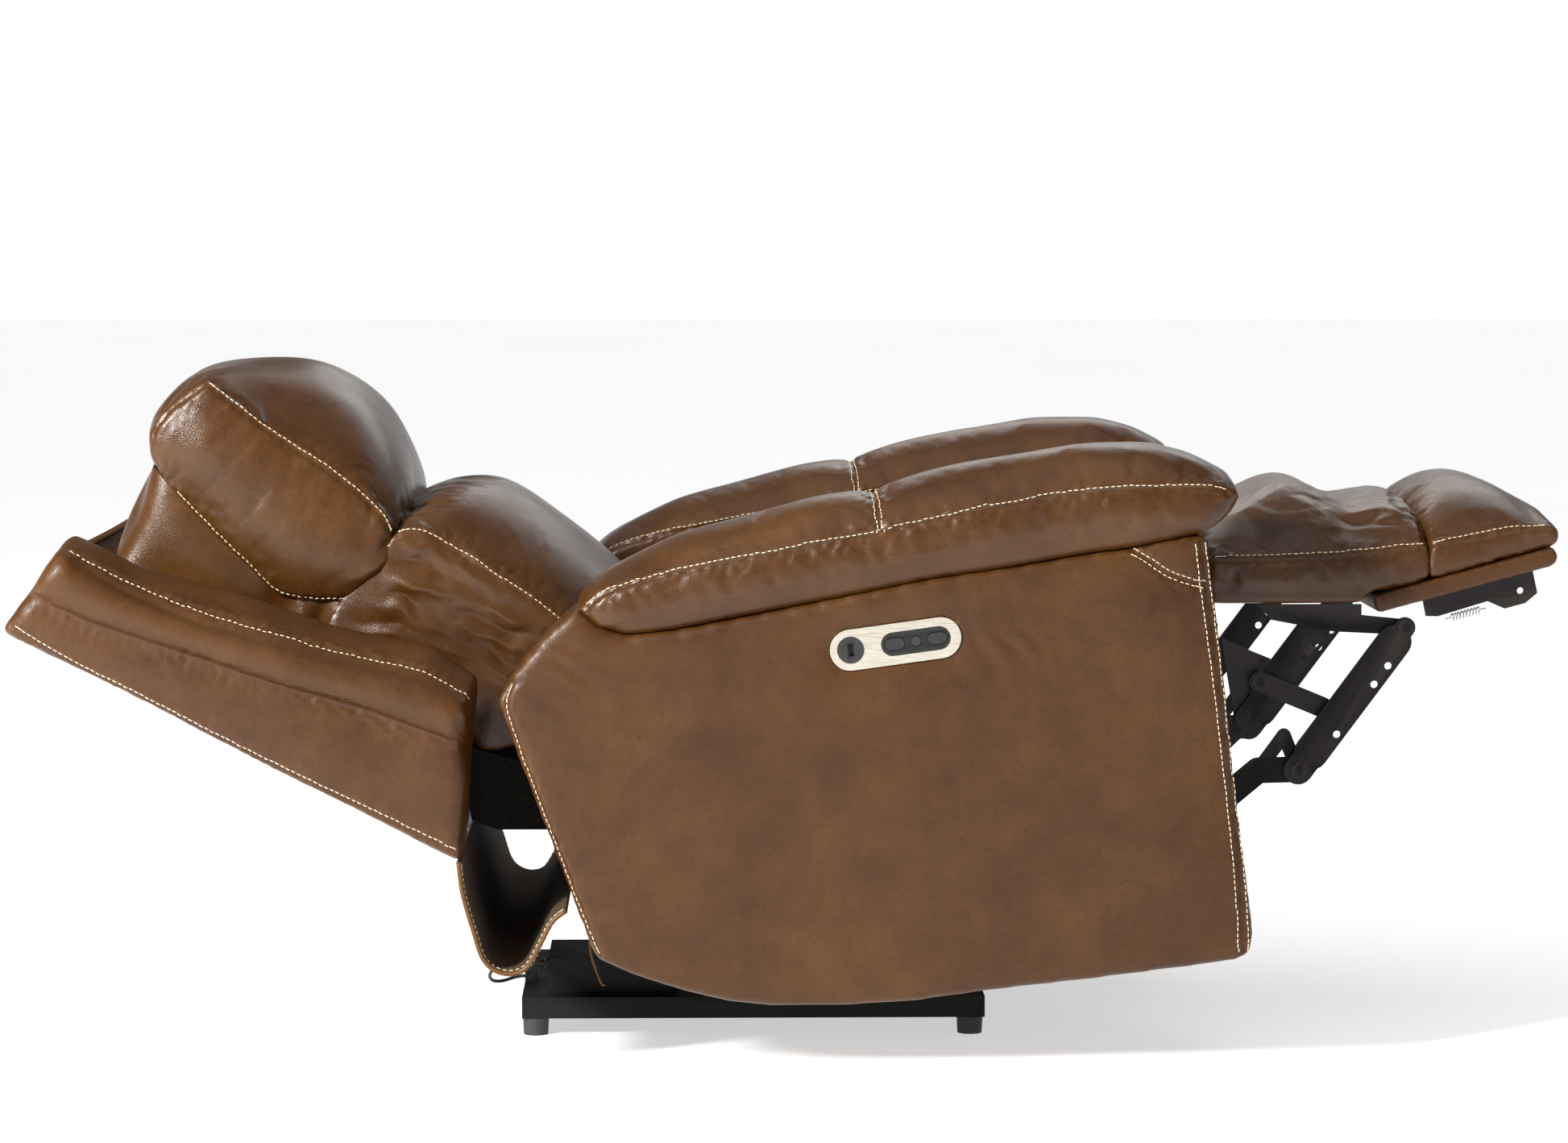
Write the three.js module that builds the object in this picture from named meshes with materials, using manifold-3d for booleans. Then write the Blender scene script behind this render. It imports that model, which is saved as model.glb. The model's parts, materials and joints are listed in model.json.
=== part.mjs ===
// Power recliner armchair, fully reclined with the footrest out.
// Millimetres. +X is the front of the chair, +Y the sitter's left, +Z up; the feet stand on Z = 0.
import * as THREE from "three";
import { mergeVertices } from "three/addons/utils/BufferGeometryUtils.js";
import Module from "manifold-3d";

const wasm = await Module();
wasm.setup();

// ---- Driving dimensions -------------------------------------------------------------------------

const gap = 0.3; // between two pieces that touch
const running = 0.4; // radial, between a pin and its hole

// Widths, across the chair
const seatWidth = 524; // clear, between the arms
const armWidth = 168; // from the clear width to the outer face of the side panel
const padOverhang = 8; // of the arm pad past the side panel
const sidePanelThickness = 14;
const seatSideClearance = 4; // seat and footrest cushions to the arms
const cushionWidth = seatWidth - 2 * seatSideClearance;
const panelFace = seatWidth / 2 + armWidth;
const wingThickness = 77;
const wingFace = panelFace - 5;
const wingInner = wingFace - wingThickness;

// Base
const baseRear = -316;
const baseLength = 544;
const baseWidth = 370;
const footHeight = 20;
const footRadius = 15.5;
const railHeight = 25;
const railWidth = 30;
const plateThickness = 3;
const tiltAxis = { x: 20, z: 150 };
const tiltShaftRadius = 9;

// Seat
const seatFront = 462;
const seatRear = -60;
const seatLength = seatFront - seatRear;
const deckThickness = 15;
const deckRearTop = 372;
const deckFrontTop = 508;
const cushionRearDepth = 116;
const cushionFrontDepth = 92;
const crossTubeRadius = 12;

// Steel linkage: straps of one thickness in layers that step outwards from the chassis plates
const strap = 4;
const layerPitch = 6.5;
const chassisLayer = 207.5;
const pinRadius = 5;
const headRadius = 9;
const headThickness = 1.7;
const torqueTubeRadius = 11;
const driveArmLength = 60;
const pivots = {
  torque: { x: 440, z: 120 }, // lower link on the seat chassis
  knee: { x: 588, z: 318 }, // front link on the lower link
  board: { x: 711, z: 484 }, // footrest on the front link
  hanger: { x: 618, z: 494 }, // rear link on the footrest
  couplerRear: { x: 544, z: 420 }, // coupler on the rear link
  couplerFront: { x: 617, z: 390 }, // coupler at the front link, open
  tail: { x: 530, z: 376 }, // rear link at the upper link, open
  upper: { x: 437.5, z: 288.92 }, // upper link on the seat chassis
  back: { x: -165, z: 333 },
  head: { x: -554, z: 510 },
};

// Footrest
const boardRear = 480;
const boardLength = 184;
const boardThickness = 12;
const boardBottom = 511;
const footCushionFront = 731;
const footCushionDepth = 109;
const flipperRear = 673;
const flipperLength = 215;
const flipperThickness = 20;
const flipperRise = 15; // degrees
const flipperCushionDepth = 78;

// Back, in its own plane: s runs from the lower edge up the back, h stands out towards the sitter
const backFoot = { x: -380, z: 241 };
const backAngle = 27.5; // degrees above the floor
const backLength = 560;
const backPanelThickness = 13;
const backFrameDepth = 82;
const skirtThickness = 5;

// Arms
const armFront = 512;
const bezelLength = 148;
const bezelHeight = 46;
const bezelDepth = 12;
const bezelProud = 1.5;
const bezelTilt = 7.8; // degrees
const bezelCentre = { x: 111, z: 483 };
const bezelRim = 5.5;
const usbRadius = 15;
const usbSlot = { width: 6, height: 14, depth: 9 };
const buttonTravel = 2;
const buttonProud = 1;

// Power lead
const leadRadius = 2;

// ---- Shape helpers ------------------------------------------------------------------------------

const degrees = THREE.MathUtils.degToRad;
const root = new THREE.Group();

function finish(color, roughness, metalness = 0) {
  return new THREE.MeshStandardMaterial({ color, roughness, metalness });
}
const leather = () => finish(0x6b3f22, 0.38);
const blackCloth = () => finish(0x15130f, 0.95);
const blackSteel = () => finish(0x17171a, 0.42, 0.7);
const blackPlastic = () => finish(0x0d0d0e, 0.4);

function add(name, geometry, material) {
  const mesh = new THREE.Mesh(geometry, material);
  mesh.name = name;
  root.add(mesh);
}

// One piece on each side: "right" is at negative Y.
function addPair(name, makeGeometry, makeMaterial) {
  for (const [side, sign] of [["right", -1], ["left", 1]]) {
    add(`${name}_${side}`, makeGeometry(sign), makeMaterial());
  }
}

function toSolid(geometry) {
  const bare = geometry.clone();
  for (const name of ["normal", "uv"]) bare.deleteAttribute(name);
  const merged = mergeVertices(bare, 1e-4);
  return new wasm.Manifold(new wasm.Mesh({
    numProp: 3,
    vertProperties: new Float32Array(merged.attributes.position.array),
    triVerts: new Uint32Array(merged.index.array),
  }));
}

function fromSolid(solid) {
  const mesh = solid.getMesh();
  const geometry = new THREE.BufferGeometry();
  geometry.setAttribute("position", new THREE.BufferAttribute(mesh.vertProperties, 3));
  geometry.setIndex(new THREE.BufferAttribute(mesh.triVerts, 1));
  geometry.computeVertexNormals();
  return geometry;
}

function join(...parts) {
  return fromSolid(parts.map(toSolid).reduce((a, b) => a.add(b)));
}

function cut(body, ...tools) {
  return fromSolid(tools.map(toSolid).reduce((a, b) => a.subtract(b), toSolid(body)));
}

function outline(points) {
  return new THREE.Shape(points.map(([x, z]) => new THREE.Vector2(x, z)));
}

// A side-view shape made solid across the chair, from yLow to yHigh.
function slab(shape, yLow, yHigh, curveSegments = 5) {
  const options = { depth: yHigh - yLow, bevelEnabled: false, curveSegments };
  return new THREE.ExtrudeGeometry(shape, options).rotateX(Math.PI / 2).translate(0, yHigh, 0);
}

// The same with its long edges rounded, for upholstery.
function pillow(shape, yLow, yHigh, round, curveSegments = 5) {
  const options = {
    depth: yHigh - yLow - 2 * round,
    bevelThickness: round,
    bevelSize: round,
    bevelOffset: -round,
    bevelSegments: 2,
    curveSegments,
  };
  return new THREE.ExtrudeGeometry(shape, options)
    .rotateX(Math.PI / 2)
    .translate(0, yHigh - round, 0);
}

function block(x, y, z) {
  return new THREE.BoxGeometry(x[1] - x[0], y[1] - y[0], z[1] - z[0])
    .translate((x[0] + x[1]) / 2, (y[0] + y[1]) / 2, (z[0] + z[1]) / 2);
}

function rod(at, radius, yLow, yHigh, sides = 16) {
  return new THREE.CylinderGeometry(radius, radius, yHigh - yLow, sides)
    .translate(at.x, (yLow + yHigh) / 2, at.z);
}

// A strap with round ends from one pivot to the next, in the plane of the links.
function bar(from, to, width, y, thickness = strap) {
  const length = Math.hypot(to.x - from.x, to.z - from.z);
  const shape = new THREE.Shape();
  shape.absarc(0, 0, width / 2, Math.PI / 2, Math.PI * 1.5);
  shape.absarc(length, 0, width / 2, -Math.PI / 2, Math.PI / 2);
  return slab(shape, y - thickness / 2, y + thickness / 2)
    .rotateY(-Math.atan2(to.z - from.z, to.x - from.x))
    .translate(from.x, 0, from.z);
}

function between(from, to, share) {
  return { x: from.x + (to.x - from.x) * share, z: from.z + (to.z - from.z) * share };
}

// Layer n counts outwards from the chassis plate.
const layer = (n) => chassisLayer + n * layerPitch;

// The side that a strap turns to its neighbour: a pin on layer n that reaches past layer n + step
// and ends in a flat head there.
function rivet(at, side, n, step, radius = pinRadius) {
  const start = layer(n);
  const far = layer(n + step) + Math.sign(step) * (strap / 2 + running);
  const end = far + Math.sign(step) * headThickness;
  const span = (a, b) => (side * a < side * b ? [side * a, side * b] : [side * b, side * a]);
  return [rod(at, radius, ...span(start, end)), rod(at, headRadius, ...span(far, end))];
}

function hole(at, side, n, radius = pinRadius) {
  const y = side * layer(n);
  return rod(at, radius + running, y - strap, y + strap);
}

function backPoint(s, h) {
  const angle = degrees(backAngle);
  return [
    backFoot.x - s * Math.cos(angle) + h * Math.sin(angle),
    backFoot.z + s * Math.sin(angle) + h * Math.cos(angle),
  ];
}

// Underside of the seat cushion, which slopes up to the front.
const deckTop = (x) => (
  deckRearTop + ((x - seatRear) / seatLength) * (deckFrontTop - deckRearTop)
);

// ---- Base ---------------------------------------------------------------------------------------

const railBottom = footHeight + gap;
const railTop = railBottom + railHeight;
const baseFront = baseRear + baseLength;
const railOuter = baseWidth / 2;
const railInner = railOuter - railWidth;
const riserThickness = 6;

function rail(side) {
  const inner = side * (railOuter - riserThickness);
  const outer = side * railOuter;
  const y = [Math.min(inner, outer), Math.max(inner, outer)];
  const tube = block(
    [baseRear, baseFront],
    side > 0 ? [railInner, railOuter] : [-railOuter, -railInner],
    [railBottom, railTop]);
  const riser = slab(outline([
    [tiltAxis.x - 75, railTop - 1],
    [tiltAxis.x + 75, railTop - 1],
    [tiltAxis.x + 18, tiltAxis.z + 14],
    [tiltAxis.x - 18, tiltAxis.z + 14],
  ]), ...y);
  const bore = rod(tiltAxis, tiltShaftRadius + gap, y[0] - 1, y[1] + 1);
  return fromSolid(toSolid(tube).add(toSolid(riser)).subtract(toSolid(bore)));
}
addPair("base_rail", rail, blackSteel);

const panSpan = [-railInner + gap, railInner - gap];
const leadEnd = { x: baseRear - gap, y: -60, z: railTop + 6 };
const trayTop = railBottom + plateThickness;
add("base_pan", join(
  block([baseRear, baseFront], panSpan, [railBottom, trayTop]),
  block([baseRear, baseRear + railWidth], panSpan, [railBottom, railTop]),
  block([baseFront - railWidth, baseFront], panSpan, [railBottom, railTop]),
  block(
    [baseRear, baseRear + 14],
    [leadEnd.y - 9, leadEnd.y + 9],
    [railTop - 1, leadEnd.z + 7])), blackSteel());

for (const [end, x] of [["rear", baseRear + 16], ["front", baseFront - 17]]) {
  addPair(`foot_${end}`, (side) => new THREE.CylinderGeometry(
    footRadius, footRadius - 1, footHeight, 20)
    .rotateX(Math.PI / 2)
    .translate(x, side * (railOuter - railWidth / 2), footHeight / 2), blackPlastic);
}

const powerBox = { rear: baseRear + 30, length: 150, width: 150, height: 62 };
const boxBottom = trayTop + gap;
add("power_box", block(
  [powerBox.rear + gap, powerBox.rear + powerBox.length],
  [-powerBox.width, 0],
  [boxBottom, boxBottom + powerBox.height]), blackPlastic());
const leadStart = { x: powerBox.rear - 14, y: -110, z: boxBottom + powerBox.height - 12 };
add("cord_gland", new THREE.LatheGeometry(
  [[0, 0], [7, 0], [7, 4], [5, 5], [3.4, 14 - gap], [0, 14 - gap]]
    .map(([r, y]) => new THREE.Vector2(r, y)), 12)
  .rotateZ(Math.PI / 2)
  .translate(powerBox.rear, leadStart.y, leadStart.z), blackPlastic());

// Free loop behind the base, from the gland back to the clip on the rear crossbar.
const leadRoute = [
  [leadStart.x - gap, leadStart.y, leadStart.z],
  [-307.8, -110, 73.6],
  [-315.4, -110, 73.5],
  [-322.9, -110.1, 73.2],
  [-330.4, -109.6, 72.6],
  [-337.8, -108.5, 71.5],
  [-344.8, -106.5, 69.5],
  [-350.9, -103.4, 66.4],
  [-355.3, -99.1, 62.1],
  [-357.2, -94.1, 56.9],
  [-356.2, -88.4, 52.1],
  [-352.7, -82.6, 48.8],
  [-347.9, -77, 47.3],
  [-342.6, -71.7, 47],
  [-337, -66.7, 47.8],
  [-330.8, -62.6, 49.2],
  [-323.8, -60.4, 50.5],
  [leadEnd.x, leadEnd.y, leadEnd.z],
].map((p) => new THREE.Vector3(...p));
const leadSection = new THREE.Shape().absarc(0, 0, leadRadius, 0, Math.PI * 2);
add("power_lead", new THREE.ExtrudeGeometry(leadSection, {
  steps: 24,
  curveSegments: 4,
  extrudePath: new THREE.CatmullRomCurve3(leadRoute, false, "centripetal"),
}), finish(0x08080a, 0.55));

const shaftEnd = chassisLayer + strap / 2 + 6;
add("tilt_shaft", rod(tiltAxis, tiltShaftRadius, -shaftEnd, shaftEnd, 20),
  finish(0x8c8f94, 0.35, 0.9));

// ---- Seat chassis -------------------------------------------------------------------------------

const rearTube = { x: -80, z: deckTop(-80) - deckThickness - crossTubeRadius - 2 * gap };
const frontTube = { x: 150, z: deckTop(150) - deckThickness - crossTubeRadius - 2 * gap };

function chassisPlate(side) {
  const y = [side * chassisLayer - strap / 2, side * chassisLayer + strap / 2];
  const { torque, upper, back } = pivots;
  const web = slab(outline([
    [back.x - 16, back.z + 16],
    [rearTube.x - 30, deckTop(rearTube.x - 30) - 4],
    [seatFront - 6, deckTop(seatFront - 6) - 4],
    [seatFront + 16, deckTop(seatFront) - 8],
    [seatFront + 16, deckTop(seatFront) - 70],
    [upper.x + 20, upper.z + 10],
    [torque.x + 22, torque.z],
    [torque.x - 22, torque.z],
    [upper.x - 28, upper.z - 22],
    [250, 268],
    [70, 165],
    [tiltAxis.x + 22, tiltAxis.z - 8],
    [tiltAxis.x - 22, tiltAxis.z - 8],
    [-75, 268],
    [back.x - 10, back.z - 22],
  ]), ...y);
  const lugs = [
    rod(back, 24, ...y),
    rod(tiltAxis, 24, ...y),
    rod(torque, 22, ...y),
    ...rivet(upper, side, 0, 1),
    ...rivet(back, side, 0, 1),
  ];
  const bores = [
    rod(tiltAxis, tiltShaftRadius + running, y[0] - 1, y[1] + 1),
    rod(torque, torqueTubeRadius + running, y[0] - 1, y[1] + 1),
    rod(rearTube, crossTubeRadius + gap, y[0] - 1, y[1] + 1),
    rod(frontTube, crossTubeRadius + gap, y[0] - 1, y[1] + 1),
  ];
  const body = lugs.map(toSolid).reduce((a, b) => a.add(b), toSolid(web));
  return fromSolid(bores.map(toSolid).reduce((a, b) => a.subtract(b), body));
}
addPair("chassis_plate", chassisPlate, blackSteel);

const tubeEnd = seatWidth / 2 + 6 - gap;
add("arm_cross_tube_rear", rod(rearTube, crossTubeRadius, -tubeEnd, tubeEnd), blackSteel());
add("arm_cross_tube_front", rod(frontTube, crossTubeRadius, -tubeEnd, tubeEnd), blackSteel());

const deckHalf = chassisLayer - strap / 2 - gap;
const deckRear = rearTube.x - 50;
add("seat_deck", slab(outline([
  [deckRear, deckTop(deckRear) - gap],
  [deckRear, deckTop(deckRear) - deckThickness],
  [seatFront - 40, deckTop(seatFront - 40) - deckThickness],
  [seatFront - 40, deckTop(seatFront - 40) - 70],
  [seatFront - 8, deckTop(seatFront - 8) - 70],
  [seatFront - 8, deckTop(seatFront - 8) - gap],
]), -deckHalf, deckHalf), finish(0x9a7b50, 0.8));

const seatRearTop = deckRearTop + cushionRearDepth;
const seatFrontTop = deckFrontTop + cushionFrontDepth;
add("seat_cushion", pillow(outline([
  [seatRear, deckTop(seatRear)],
  [seatFront - 8, deckTop(seatFront - 8)],
  [seatFront, deckTop(seatFront) + 12],
  [seatFront - 2, seatFrontTop - 36],
  [seatFront - 26, seatFrontTop - 6],
  [seatFront - 80, seatFrontTop],
  [seatRear + 200, seatRearTop + 46],
  [seatRear + 24, seatRearTop + 2],
  [seatRear, seatRearTop - 22],
]), -cushionWidth / 2, cushionWidth / 2, 12), leather());

// ---- Arms ---------------------------------------------------------------------------------------

const padLower = [
  [459, 606], [355, 586], [235, 567], [134, 550], [-33, 517], [-133, 498], [-191, 491],
  [-221, 500],
];
const padUpper = [
  [-245, 520], [-220, 548], [-133, 591], [21, 633], [139, 659], [322, 695], [402, 698],
  [444, 687], [476, 668], [497, 650], [487, 634],
];
const panelRear = [[-333, 419], [-313, 451], [-277, 492], [-246, 520 - gap]];
const panelLower = [
  [armFront + 2, 154], [armFront, 134], [500, 126], [373, 111], [283, 101], [204, 91],
  [130, 82], [56, 77], [-34, 78], [-80, 84], [-125, 94], [-179, 111], [-224, 129],
];
const underPad = padLower.map(([x, z]) => [x, z - gap]).reverse();
const panelShape = outline([...underPad, ...panelLower, ...panelRear]);

addPair("arm_pad", (side) => {
  const y = [side * (seatWidth / 2), side * (panelFace + padOverhang)];
  return pillow(outline([...padLower, ...padUpper]), Math.min(...y), Math.max(...y), 16);
}, leather);

const panelBack = panelFace - sidePanelThickness;
addPair("arm_frame", (side) => {
  const y = [side * (seatWidth / 2 + 6), side * (panelBack - gap)];
  return slab(panelShape, Math.min(...y), Math.max(...y));
}, leather);

// A stadium lying in the side panel's face, along the tilt of the control plate.
function stadium(length, height, inset = 0) {
  const radius = height / 2 - inset;
  const reach = length / 2 - height / 2;
  const shape = new THREE.Shape();
  if (reach === 0) return shape.absarc(0, 0, radius, 0, Math.PI * 2);
  shape.absarc(-reach, 0, radius, Math.PI / 2, Math.PI * 1.5);
  shape.absarc(reach, 0, radius, -Math.PI / 2, Math.PI / 2);
  return shape;
}

function onPanel(geometry, offset = 0) {
  return geometry
    .translate(offset, 0, 0)
    .rotateY(-degrees(bezelTilt))
    .translate(bezelCentre.x, 0, bezelCentre.z);
}

const plateFace = -panelFace - bezelProud;
const plateBack = -panelFace + bezelDepth;
addPair("side_panel", (side) => {
  const y = [side * panelBack, side * panelFace];
  const skin = slab(panelShape, Math.min(...y), Math.max(...y));
  if (side > 0) return skin;
  const recess = stadium(bezelLength, bezelHeight, -gap);
  return cut(skin, onPanel(slab(recess, plateFace, plateBack + gap, 10)));
}, leather);

const switchOffset = 23;
const switchLength = 78;
const switchHeight = 26;
const usbOffset = -bezelLength / 2 + bezelRim + usbRadius + 3;
const plateFloor = 3;
add("control_bezel", cut(
  onPanel(slab(stadium(bezelLength, bezelHeight), plateFace, plateBack, 10)),
  onPanel(slab(stadium(switchLength, switchHeight, -gap), plateFace - 1, plateBack - plateFloor, 8),
    switchOffset),
  onPanel(rod({ x: 0, z: 0 }, usbRadius + gap, plateFace - 1, plateBack - plateFloor, 28),
    usbOffset)), finish(0xb9ae98, 0.3, 0.85));

const switchFace = plateFace + 0.5;
const switchBack = plateBack - plateFloor - gap;
const pocketDepth = 7;
const buttons = [
  { name: "button_recline", offset: switchOffset - 24, length: 22, height: 13 },
  { name: "button_home", offset: switchOffset, length: 11, height: 11 },
  { name: "button_close", offset: switchOffset + 24, length: 22, height: 13 },
];
const buttonClearance = 0.6;
add("switch_housing", cut(
  onPanel(slab(stadium(switchLength, switchHeight), switchFace, switchBack, 8), switchOffset),
  ...buttons.map(({ offset, length, height }) => onPanel(slab(
    stadium(length, height, -buttonClearance), switchFace - 1, switchFace + pocketDepth), offset)),
), blackPlastic());
for (const { name, offset, length, height } of buttons) {
  const front = switchFace - buttonProud;
  const back = switchFace + pocketDepth - buttonTravel - 1;
  add(name, onPanel(slab(stadium(length, height), front, back), offset), blackPlastic());
}

const usbFace = plateFace + 0.5;
add("usb_socket", cut(
  onPanel(rod({ x: 0, z: 0 }, usbRadius, usbFace, switchBack, 28), usbOffset),
  onPanel(block(
    [-usbSlot.width / 2, usbSlot.width / 2],
    [usbFace - 1, usbFace + usbSlot.depth],
    [-usbSlot.height / 2, usbSlot.height / 2]), usbOffset)), blackPlastic());

// ---- Drive --------------------------------------------------------------------------------------

const { torque, knee, board, hanger, couplerRear, couplerFront, tail, upper } = pivots;
const driveAngle = degrees(48.3); // of the drive arm above the front horizontal
const driveArmEnd = {
  x: torque.x + driveArmLength * Math.cos(driveAngle),
  z: torque.z + driveArmLength * Math.sin(driveAngle),
};
const armHalf = 8;
const lowerLayer = 4;
const tubeReach = layer(lowerLayer) - strap / 2 - gap;
add("torque_tube", join(
  rod(torque, torqueTubeRadius, -tubeReach, tubeReach, 20),
  bar(torque, driveArmEnd, 24, 0, 2 * armHalf)), blackSteel());

const railZ = driveArmEnd.z + 34;
const driveRail = { rear: -40, front: seatFront - 60, half: 14 };
const hangerTop = (tube) => tube.z - crossTubeRadius - gap;
add("actuator_rail", join(
  block(
    [driveRail.rear, driveRail.front],
    [-driveRail.half, driveRail.half],
    [railZ + 12, railZ + 30]),
  block(
    [frontTube.x - 9, frontTube.x + 9],
    [-driveRail.half + 2, driveRail.half - 2],
    [railZ + 29, hangerTop(frontTube)])), finish(0x6f7276, 0.4, 0.8));
add("gear_motor", join(
  rod({ x: driveRail.rear - 40, z: railZ + 30 }, 30, -45, 75, 24),
  block([driveRail.rear - 78, driveRail.rear - gap], [-42, 42], [railZ + 2, railZ + 60]),
  block([rearTube.x - 12, rearTube.x + 12], [-30, 30], [railZ + 59, hangerTop(rearTube)])),
blackPlastic());
const carriageRear = driveArmEnd.x - 140;
add("drive_carriage", join(
  block([carriageRear, carriageRear + 64], [-26, 26], [railZ - 12, railZ + 12 - 2 * running]),
  ...[-1, 1].map((side) => bar(
    { x: carriageRear + 52, z: railZ - 2 }, driveArmEnd, 20, side * (armHalf + 8), 6))),
finish(0xc9c9c4, 0.5));

// ---- Footrest linkage ---------------------------------------------------------------------------

const frontLayer = lowerLayer + 1;
const bracketLayer = lowerLayer;
const couplerLayer = 3;
const rearLayer = 2;
const upperLayer = 1;
const linkWidth = 30;
const wideLink = 40;

function onSide(side, n) {
  return side * layer(n);
}

// Small open holes along a strap, off its centre line.
function lightening(from, to, shares, offset, side, n) {
  const length = Math.hypot(to.x - from.x, to.z - from.z);
  const across = { x: (to.z - from.z) / length, z: -(to.x - from.x) / length };
  return shares.map((share) => {
    const at = between(from, to, share);
    return hole({ x: at.x + across.x * offset, z: at.z + across.z * offset }, side, n, 4);
  });
}

function compose(bodies, holes) {
  const body = bodies.map(toSolid).reduce((a, b) => a.add(b));
  return fromSolid(holes.map(toSolid).reduce((a, b) => a.subtract(b), body));
}

addPair("lower_link", (side) => {
  const y = onSide(side, lowerLayer);
  const elbow = { x: knee.x - 46, z: knee.z - 1 };
  const shin = { x: elbow.x - 36, z: elbow.z - 30 };
  const lug = { x: knee.x - 16, z: knee.z + 40 };
  return join(
    bar(torque, shin, linkWidth, y),
    bar(shin, elbow, linkWidth, y),
    bar(elbow, knee, linkWidth, y),
    bar(elbow, lug, 16, y),
    bar(knee, lug, 16, y),
    ...rivet(knee, side, lowerLayer, 1));
}, blackSteel);

addPair("front_link", (side) => {
  const y = onSide(side, frontLayer);
  const shoulder = between(knee, board, 0.9);
  return compose([
    bar(knee, between(knee, board, 0.5), linkWidth + 4, y),
    bar(between(knee, board, 0.12), shoulder, wideLink, y),
    bar(shoulder, board, 2 * (pinRadius + 7), y),
  ], [
    hole(knee, side, frontLayer),
    hole(board, side, frontLayer),
    ...lightening(knee, board, [0.29, 0.64, 0.77], 11, side, frontLayer),
  ]);
}, blackSteel);

addPair("upper_link", (side) => {
  const y = onSide(side, upperLayer);
  const gusset = slab(outline([
    [tail.x - 12, tail.z - 10],
    [tail.x + 8, tail.z],
    [tail.x + 15, tail.z + 74],
    [tail.x - 30, tail.z + 95],
  ]), y - strap / 2, y + strap / 2);
  return compose(
    [bar(upper, tail, linkWidth - 4, y), gusset], [hole(upper, side, upperLayer)]);
}, blackSteel);

addPair("rear_link", (side) => {
  const y = onSide(side, rearLayer);
  const neck = between(hanger, tail, 0.12);
  const heel = between(hanger, tail, 0.74);
  return compose([
    bar(hanger, neck, 24, y),
    bar(neck, heel, wideLink - 2, y),
    bar(heel, tail, linkWidth - 2, y),
    ...rivet(couplerRear, side, rearLayer, 1),
  ], [
    hole(hanger, side, rearLayer),
    ...lightening(hanger, tail, [0.2, 0.34], -11, side, rearLayer),
  ]);
}, blackSteel);

addPair("coupler_link", (side) => compose(
  [bar(couplerRear, couplerFront, 24, onSide(side, couplerLayer))],
  [hole(couplerRear, side, couplerLayer)]), blackSteel);

const bracketTop = boardBottom - gap;
addPair("footrest_bracket", (side) => {
  const y = onSide(side, bracketLayer);
  const web = slab(outline([
    [boardRear + 60, bracketTop],
    [boardRear + 76, bracketTop - 18],
    [hanger.x + 10, hanger.z - 15],
    [board.x, board.z - 9],
    [board.x, board.z + 9],
    [flipperRear - 12, board.z + 14],
    [flipperRear - 12, bracketTop],
  ]), y - strap / 2, y + strap / 2);
  return join(
    web,
    rod(board, 9, y - strap / 2, y + strap / 2),
    ...rivet(board, side, bracketLayer, 1),
    ...rivet(hanger, side, bracketLayer, rearLayer - bracketLayer));
}, blackSteel);

// ---- Footrest -----------------------------------------------------------------------------------

const boardHalf = layer(frontLayer) - 2;
const footHalf = cushionWidth / 2 - 8;
const boardTop = boardBottom + boardThickness;
add("footrest_board", block(
  [boardRear, boardRear + boardLength], [-boardHalf, boardHalf], [boardBottom, boardTop]),
finish(0x9a7b50, 0.8));

const slope = Math.tan(degrees(flipperRise));
const flipperTop = (x) => (
  boardBottom + 10 + (x - flipperRear) * slope
);
const flipperTip = flipperRear + flipperLength * Math.cos(degrees(flipperRise));
const footTop = boardTop + footCushionDepth;
add("footrest_cushion", pillow(outline([
  [boardRear, boardTop + gap],
  [boardRear + boardLength, boardTop + gap],
  [footCushionFront, flipperTop(footCushionFront) + 6],
  [footCushionFront, footTop - 12],
  [footCushionFront - 50, footTop - 14],
  [footCushionFront - 120, footTop - 10],
  [boardRear + 85, footTop],
  [boardRear + 30, footTop - 12],
  [boardRear + 2, footTop - 40],
]), -footHalf, footHalf, 14), leather());

// A point below the flipper board by drop.
const underFlipper = (x, drop) => [x, flipperTop(x) - flipperThickness - drop];
addPair("flipper_arm", (side) => {
  const y = onSide(side, bracketLayer - 1);
  const [eyeX, eyeZ] = underFlipper(flipperTip - 34, 22);
  return cut(slab(outline([
    underFlipper(board.x + 22, 1),
    underFlipper(board.x + 26, 22),
    underFlipper(board.x + 40, 26),
    underFlipper(flipperTip - 72, 24),
    underFlipper(flipperTip - 52, 38),
    underFlipper(flipperTip - 28, 38),
    underFlipper(flipperTip - 14, 30),
    underFlipper(flipperTip - 20, 1),
  ]), y - strap / 2, y + strap / 2), rod({ x: eyeX, z: eyeZ }, 4, y - strap, y + strap));
}, blackSteel);
add("flipper_board", slab(outline([
  [flipperRear, flipperTop(flipperRear)],
  [flipperRear + 4, flipperTop(flipperRear + 4) - flipperThickness],
  [flipperTip + 2, flipperTop(flipperTip + 2) - flipperThickness],
  [flipperTip + 6, flipperTop(flipperTip) - flipperThickness / 2],
  [flipperTip, flipperTop(flipperTip)],
]), -footHalf - 2, footHalf + 2), leather());

const flipperPadRear = footCushionFront + 4;
add("flipper_cushion", pillow(outline([
  [flipperPadRear, flipperTop(flipperPadRear) + gap],
  [flipperTip, flipperTop(flipperTip) + gap],
  [flipperTip + 5, flipperTop(flipperTip) + 14],
  [flipperTip - 14, flipperTop(flipperTip) + 42],
  [flipperTip - 56, flipperTop(flipperTip - 56) + flipperCushionDepth],
  [flipperTip - 96, flipperTop(flipperTip - 96) + flipperCushionDepth + 14],
  [flipperPadRear, flipperTop(flipperPadRear) + flipperCushionDepth + 16],
]), -footHalf, footHalf, 12), leather());

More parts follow.
